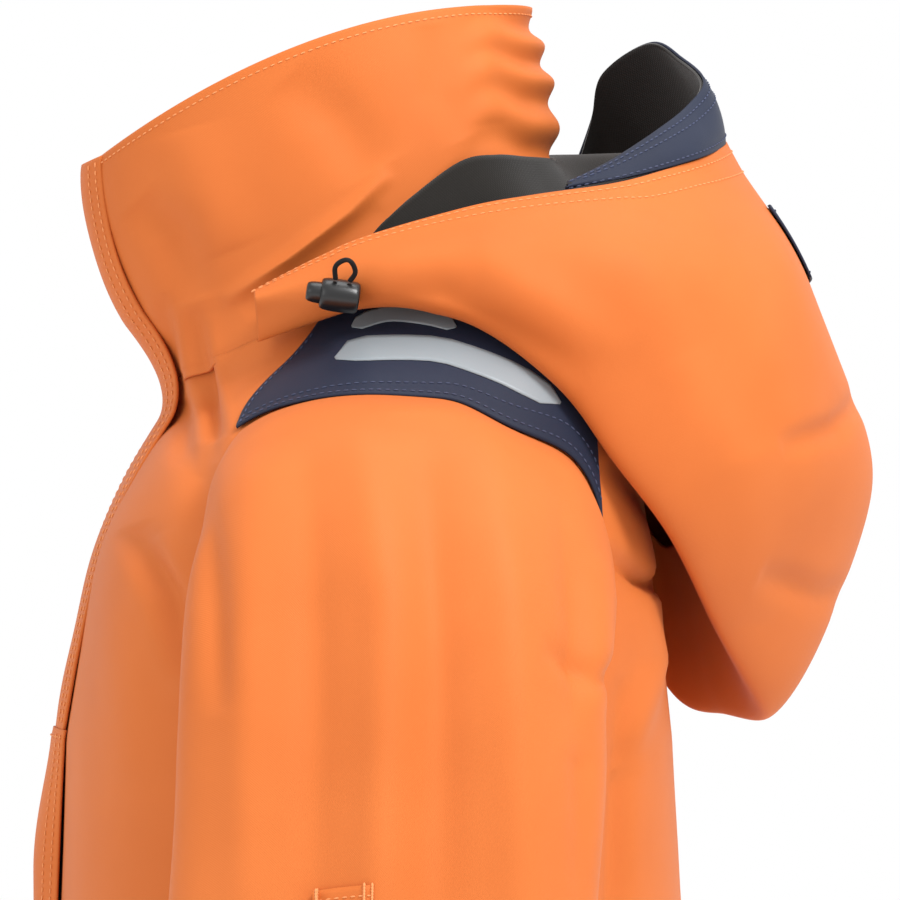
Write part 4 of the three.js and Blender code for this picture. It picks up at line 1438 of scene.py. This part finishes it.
@dataclass
class Hood:
    """The hood, hanging open behind the collar, a little lower on the wearer's left."""

    rim: tuple = ((97, -148, -39), (112, -100, -16), (114, -47, 1), (112, -12, 8), (103, 28, 14),
                  (84, 54, 21),
                  (48, 80, 30), (0, 91, 37), (-48, 81, 38), (-84, 56, 34), (-103, 28, 29), (-112, -12, 22),
                  (-113, -47, 12), (-112, -96, -10), (-99, -149, -43))
    outer: tuple = ((108, -148, -43), (131, -94, -29), (142, -47, -22), (150, -10, -22), (148, 40, -24),
                    (128, 80, -30), (78, 117, -34), (0, 131, -42), (-78, 120, -36), (-128, 82, -36),
                    (-148, 42, -30),
                    (-150, -10, -22), (-142, -47, -20), (-131, -92, -25), (-107, -150, -48))
    belly: tuple = ((105, -147, -52), (134, -94, -42), (150, -46, -48), (156, -8, -60), (150, 38, -86),
                    (132, 84, -108), (84, 132, -130), (0, 165, -136), (-84, 134, -140), (-132, 86, -130),
                    (-150, 40, -100), (-156, -8, -62), (-150, -46, -45), (-134, -90, -38), (-108, -149, -58))
    fold: tuple = ((99, -146, -65), (122, -98, -49), (136, -52, -55), (143, -6, -86), (138, 24, -122),
                   (120, 56, -160), (72, 84, -206), (10, 112, -249), (-40, 96, -252), (-84, 74, -244),
                   (-120, 44, -190), (-143, -8, -104), (-136, -50, -60), (-124, -92, -46), (-104, -147, -66))
    under: tuple = ((90, -144, -60), (104, -88, -42), (109, -44, -42), (112, -4, -52), (108, 22, -76),
                    (98, 44, -106), (62, 66, -142), (0, 76, -160), (-62, 70, -165), (-98, 60, -160),
                    (-108, 30, -100), (-112, -4, -52), (-109, -44, -40), (-105, -84, -38), (-99, -145, -59))
    collar_line: tuple = ((87, -140, -42), (87, -104, -22), (86, -74, 4), (83, -47, 24), (76, -28, 28),
                          (60, -12, 28), (34, 2, 28), (0, 6, 28), (-34, 2, 28), (-60, -12, 28),
                          (-76, -28, 28), (-83, -47, 24),
                          (-86, -74, 4), (-87, -104, -18), (-87, -140, -42))
    brim_base: tuple = ((102, 4, 10), (94, 38, 17), (66, 70, 26), (34, 85, 32), (0, 91, 37), (-40, 83, 38),
                        (-72, 66, 36), (-90, 48, 32), (-97, 38, 30), (-101, 27, 29))
    brim_top: tuple = ((99, 5, 14), (86, 27, 25), (60, 52, 41), (34, 69, 54), (8, 80, 68), (-28, 72, 81),
                       (-52, 58, 90), (-80, 36, 76), (-93, 30, 52), (-100, 23, 31))
    thickness: float = 1.5 * MM
    fixed_below: float = -0.20
    moves_above: float = -0.068
    tab_half_span: float = 0.05
    tab_top: float = 0.11
    tab_bottom: float = 0.2
    lining_share: float = 0.3

    def form(self, across: np.ndarray, down: np.ndarray) -> Points:
        """The hood's surface: across runs from the left front corner to the right, down from the rim.

        Args:
            across: 0 at the left front corner and 1 at the right.
            down: 0 at the rim and 1 at the edge under the hood.

        Returns:
            The points, in metres.
        """
        rails = [rail(points, across) for points in (self.rim, self.outer, self.belly, self.fold, self.under)]
        return spline(np.stack(rails), down)

    def folded(self, points: Points) -> Points:
        """The hood's slack.

        Args:
            points: The grid.

        Returns:
            The folded grid.
        """
        folds = (
            Fold(((40, 10), (66, -40), (92, -120)), -5.0, 18, 0.3),
            Fold(((-110, -32), (-40, -30), (30, -76)), 3.5, 13, 0.6),
            Fold(((-118, -46), (-60, -44), (10, -84)), -3.0, 9, 0.6),
            Fold(((100, 20), (120, -40), (140, -90)), 3.5, 12, 0.4),
            Fold(((164, -84), (140, -104), (108, -114)), -4.5, 6, 0.7),
            Fold(((160, -188), (136, -188), (100, -176)), -4.5, 8, 0.6),
            Fold(((60, -70), (90, -130), (104, -200)), 2.5, 16),
        )
        near = smoothstep(points[..., 0], -0.01, 0.03)
        return rumple(fold_cloth(points, folds, near), 0.14, 1.2 * MM, 5)

    def build(self) -> None:
        """Builds the shell, its lining and the peak."""
        points = self.folded(mesh_points(self.form, 120, 320))
        shell = grid_object("hood_shell_cloth", points)
        thicken(shell, self.thickness)
        self.hang(shell, Finish.ORANGE, "hood_shell")
        seam = seam_surface(points)
        STITCHES.run("hood", seam[3], seam[8])
        self.lining(points)
        self.rear_tab()
        self.peak()

    def hang(self, piece: bpy.types.Object, finish: Finish, node: str) -> None:
        """Dresses a cloth piece that lies on both the body and the hood, fixes it in place without riding on
        either, and hides its node.

        Args:
            piece: The finished piece.
            finish: Its finish.
            node: The frame node that it stands for.
        """
        finish.dress(piece)
        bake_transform(piece)
        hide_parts(node)
        log.info("%s: %d faces between jacket and hood", piece.name, len(piece.data.polygons))

    def rear_tab(self) -> None:
        """The navy tab over the middle of the hood's back."""

        def surface(u: np.ndarray, v: np.ndarray) -> Points:
            """The tab's form.

            Args:
                u: Shares across the piece.
                v: Shares down it.

            Returns:
                The points, in metres.
            """
            down = self.tab_top + (self.tab_bottom - self.tab_top) * v
            return self.form(0.5 + self.tab_half_span * (2 * u - 1), down)

        points = self.folded(mesh_points(surface, 24, 24))
        points = points + normals(points) * 2.2 * MM
        seam = seam_surface(points)
        NAVY_STITCHES.run("hood", seam[2, 2:-2], seam[-3, 2:-2])
        piece = grid_object("hood_rear_tab_cloth", points)
        thicken(piece, 1.2 * MM)
        settle(piece, Finish.NAVY, "hood", "hood_rear_tab")

    def lining(self, shell: Points) -> None:
        """The black lining: over the inside of the shell, and from the rim down to the collar.

        Args:
            shell: The shell's grid of points.
        """
        across = np.linspace(0, 1, shell.shape[1])
        line = rail(self.collar_line, across)
        rim = shell[0] - normals(shell)[0] * 1.6 * MM
        sag = np.linspace(0, 1, 50)[:, None]
        sheet = line[None] + (rim - line)[None] * sag[..., None]
        dip = 4 * sag * (1 - sag) * smoothstep(sheet[..., 0], -0.03, 0.03) * 0.03
        reach = smoothstep(np.minimum(across, 1 - across), 0.0, 0.14)
        sheet[..., 2] -= dip * reach
        sheet = rumple(sheet, 0.07, 1.6 * MM, 21)
        inner = (shell - normals(shell) * 2.2 * MM)[: int(self.lining_share * len(shell))]
        inner = inner[:1] + (inner - inner[:1]) * (0.02 + 0.98 * reach[None, :, None])
        points = np.concatenate([sheet[:-1], inner])
        piece = grid_object("hood_lining_fleece", points, flip=True)
        thicken(piece, 1.2 * MM, 1.0)
        self.hang(piece, Finish.FLEECE, "hood_lining")

    def peak(self) -> None:
        """The stiff peak along the middle of the rim: a navy face and a black lining."""

        def surface(u: np.ndarray, v: np.ndarray) -> Points:
            """The peak's face, from its top edge down to the rim.

            Args:
                u: Shares across the piece.
                v: Shares down it.

            Returns:
                The points, in metres.
            """
            top, base = rail(self.brim_top, u), rail(self.brim_base, u)
            points = top + (base - top) * v[..., None]
            bow = 4 * v * (1 - v) * 3.0 * MM
            away = points * [1, 1, 0] - np.array([0, -0.02, 0])
            away /= np.linalg.norm(away, axis=-1, keepdims=True)
            return points + away * bow[..., None]

        points = mesh_points(surface, 24, 140)
        seam = seam_surface(points)
        NAVY_STITCHES.run("hood", seam[3, 2:-2], seam[7, 6:-6], seam[-4, 2:-2])
        face = grid_object("hood_peak_cloth", points)
        thicken(face, 1.2 * MM)
        settle(face, Finish.NAVY, "hood", "hood_brim")
        inside = points - normals(points) * 1.8 * MM
        back = grid_object("hood_peak_lining_fleece", inside[:, 1:-1])
        thicken(back, 1.4 * MM)
        settle(back, Finish.FLEECE, "hood", "brim_lining", "brim_stiffener")


# ---------------------------------------------------------------- the small pieces


@dataclass
class SmallPieces:
    """The flaps, pockets, cuffs, tabs and tapes that keep their nodes' outlines."""

    tooth_offset: float = 2.0 * MM
    tooth_depth: float = 3.0 * MM
    flap_top: float = 0.985
    flap_bottom: float = 1.993
    flap_half_width: float = 29.0
    flap_lift: float = 1.3
    flap_top_arch: float = 4.0
    flap_arch: float = 10.8
    flap_thickness: float = 1.4 * MM

    def build(self) -> None:
        """Builds every small sewn piece and the zip's teeth."""
        parts = [SewnPart("hem_facing", Finish.ORANGE, "jacket"),
                 SewnPart("hanger_loop", Finish.WEBBING, "jacket", slack=0.0)]
        for side in ("left", "right"):
            parts += [SewnPart(f"{side}_pocket", Finish.ORANGE, "jacket", slack=1.2 * MM),
                      SewnPart(f"{side}_pocket_header", Finish.ORANGE, "jacket", slack=0.3 * MM),
                      SewnPart(f"{side}_pocket_flap", Finish.ORANGE, f"{side}_pocket_flap"),
                      SewnPart(f"{side}_inner_cuff", Finish.FLEECE, f"{side}_sleeve"),
                      SewnPart(f"{side}_cuff_tab", Finish.NAVY, f"{side}_cuff_tab", slack=0.2 * MM),
                      SewnPart(f"{side}_zip_tape", Finish.WEBBING, "jacket", slack=0.0),
                      SewnPart(f"{side}_hood_lock_loop", Finish.WEBBING, "hood", slack=0.0)]
            for lock, body in (("hood", "hood"), ("hem", "jacket")):
                name = f"{side}_{lock}_lock"
                parts += [SewnPart(f"{name}_barrel", Finish.PLASTIC, body, slack=0.0),
                          SewnPart(f"{name}_plunger", Finish.PLASTIC, f"{name}_plunger", slack=0.0)]
        for part in parts:
            part.build()
        self.storm_flap()
        self.teeth()

    def storm_flap(self) -> None:
        """The flap over the body's zip, hinged along the wearer's left and arched over the sliders."""

        def surface(u: np.ndarray, v: np.ndarray) -> Points:
            """The body's form under the flap.

            Args:
                u: Shares across the piece.
                v: Shares down it.

            Returns:
                The points, in metres.
            """
            x = self.flap_half_width * (2 * u - 1)
            level = self.flap_top + (self.flap_bottom - self.flap_top) * v
            width = 190 + 16 * (level - 1)
            return FORM.trunk(np.sign(x) * np.arcsin((np.abs(x) / width) ** (FORM.squareness / 2)), level)

        rows, columns = 220, 48
        points = mesh_points(surface, rows, columns)
        across = np.abs(np.linspace(-1, 1, columns + 1))[None, :]
        down = np.linspace(0, 1, rows + 1)[:, None]
        arch = self.flap_top_arch + (self.flap_arch - self.flap_top_arch) * smoothstep(down, 0.0, 0.14)
        points = points + normals(points) * ((self.flap_lift + arch * (1 - across**2.2)) * MM)[..., None]
        points = rumple(points, 0.09, 0.7 * MM, 4)
        seam = points + normals(points) * 0.3 * MM
        STITCHES.run("storm_flap", *(seam[3:-3, column] for column in (3, 8, -4, -9)), seam[3, 3:-3])
        piece = grid_object("storm_flap_cloth", points)
        thicken(piece, self.flap_thickness)
        settle(piece, Finish.ORANGE, "storm_flap", "storm_flap")

    def teeth(self) -> None:
        """The two rows of moulded teeth between the zip's tapes."""
        level = np.linspace(0.03, 1.97, 400)
        line = FORM.trunk(np.zeros_like(level), level)
        up = np.linspace(0.98, 0.06, 60)
        line = np.concatenate([FORM.collar(np.zeros_like(up), up[::-1]), line])
        line[:, 1] += self.tooth_depth
        TEETH.run("jacket", line + [self.tooth_offset, 0, 0], line - [self.tooth_offset, 0, 0])


# ---------------------------------------------------------------- the studio


@dataclass(frozen=True)
class Studio:
    """A plain white studio: the camera, soft lights and a pale floor."""

    azimuth: float = 87.0
    elevation: float = 0.0
    distance: float = 4.0
    view_width: float = 0.45
    target: tuple[float, float, float] = (0.0, -0.047, -0.117)
    sensor: float = 36.0

    def camera(self) -> None:
        """Makes the camera, looking at the wearer's left shoulder."""
        data = bpy.data.cameras.new("studio_camera")
        data.sensor_width = self.sensor
        data.lens = self.sensor * self.distance / self.view_width
        made = bpy.data.objects.new("studio_camera", data)
        a, e = math.radians(self.azimuth), math.radians(self.elevation)
        back = Vector((math.sin(a) * math.cos(e), -math.cos(a) * math.cos(e), math.sin(e)))
        made.location = Vector(self.target) + back * self.distance
        made.rotation_mode = "QUATERNION"
        made.rotation_quaternion = (-back).to_track_quat("-Z", "Y")
        bpy.context.scene.collection.objects.link(made)
        bpy.context.scene.camera = made

    def light(self, name: str, place: Sequence[float], size: float, power: float) -> None:
        """Makes one soft square light aimed at the jacket.

        Args:
            name: The light's name.
            place: Where it stands, in metres.
            size: The side of its square, in metres.
            power: Its power, in watts.
        """
        data = bpy.data.lights.new(name, "AREA")
        data.size = size
        data.energy = power
        made = bpy.data.objects.new(name, data)
        made.location = Vector(place)
        direction = Vector(self.target) - made.location
        made.rotation_mode = "QUATERNION"
        made.rotation_quaternion = direction.to_track_quat("-Z", "Y")
        bpy.context.scene.collection.objects.link(made)

    def build(self) -> None:
        """Makes the camera, lights, world and floor."""
        self.camera()
        self.light("key_light", (1.9, 1.3, 2.0), 1.0, 84)
        self.light("fill_light", (2.2, -1.9, 0.5), 1.6, 12)
        self.light("top_light", (0.2, 0.2, 2.4), 1.4, 24)
        world = bpy.data.worlds.new("studio_world")
        world.use_nodes = True
        background = world.node_tree.nodes["Background"]
        background.inputs["Color"].default_value = (1, 1, 1, 1)
        background.inputs["Strength"].default_value = 1.0
        bpy.context.scene.world = world
        bpy.context.scene.view_settings.view_transform = "Standard"
        self.floor()

    def floor(self) -> None:
        """Makes the floor well below the hem."""
        mesh = bpy.data.meshes.new("floor")
        half, height = 3.0, CAD_BOUNDS[0].z - 0.25
        corners = [(x * half, y * half, height) for x, y in ((-1, -1), (1, -1), (1, 1), (-1, 1))]
        mesh.from_pydata(corners, [], [(0, 1, 2, 3)])
        floor = new_object("floor", mesh)
        floor.data.materials.append(PlainFinish("white studio board", "#f6f6f6", 0.9, bump=0.0).material())


def dress_frame() -> None:
    """Gives every frame node that still shows its finish."""
    threads = (Finish.THREAD, Finish.DARK_THREAD)
    finishes = {slot: finish for finish, slot in SLOTS.items() if finish not in threads}
    slots = {part["node"]: part["material_slot"] for part in frame["record"]["subparts"]}
    for name, node in frame["nodes"].items():
        finishes[slots[name]].dress(node)


def main() -> None:
    """Builds the jacket."""
    logging.basicConfig(level=logging.INFO, format="%(name)s %(message)s")
    Studio().build()
    dress_frame()
    Trunk().build()
    Yoke().build()
    Collar().build()
    Sleeve().build()
    Hood().build()
    SmallPieces().build()
    for rows in (STITCHES, NAVY_STITCHES, BARTACKS, TEETH):
        rows.build()


if __name__ == "__main__":
    main()
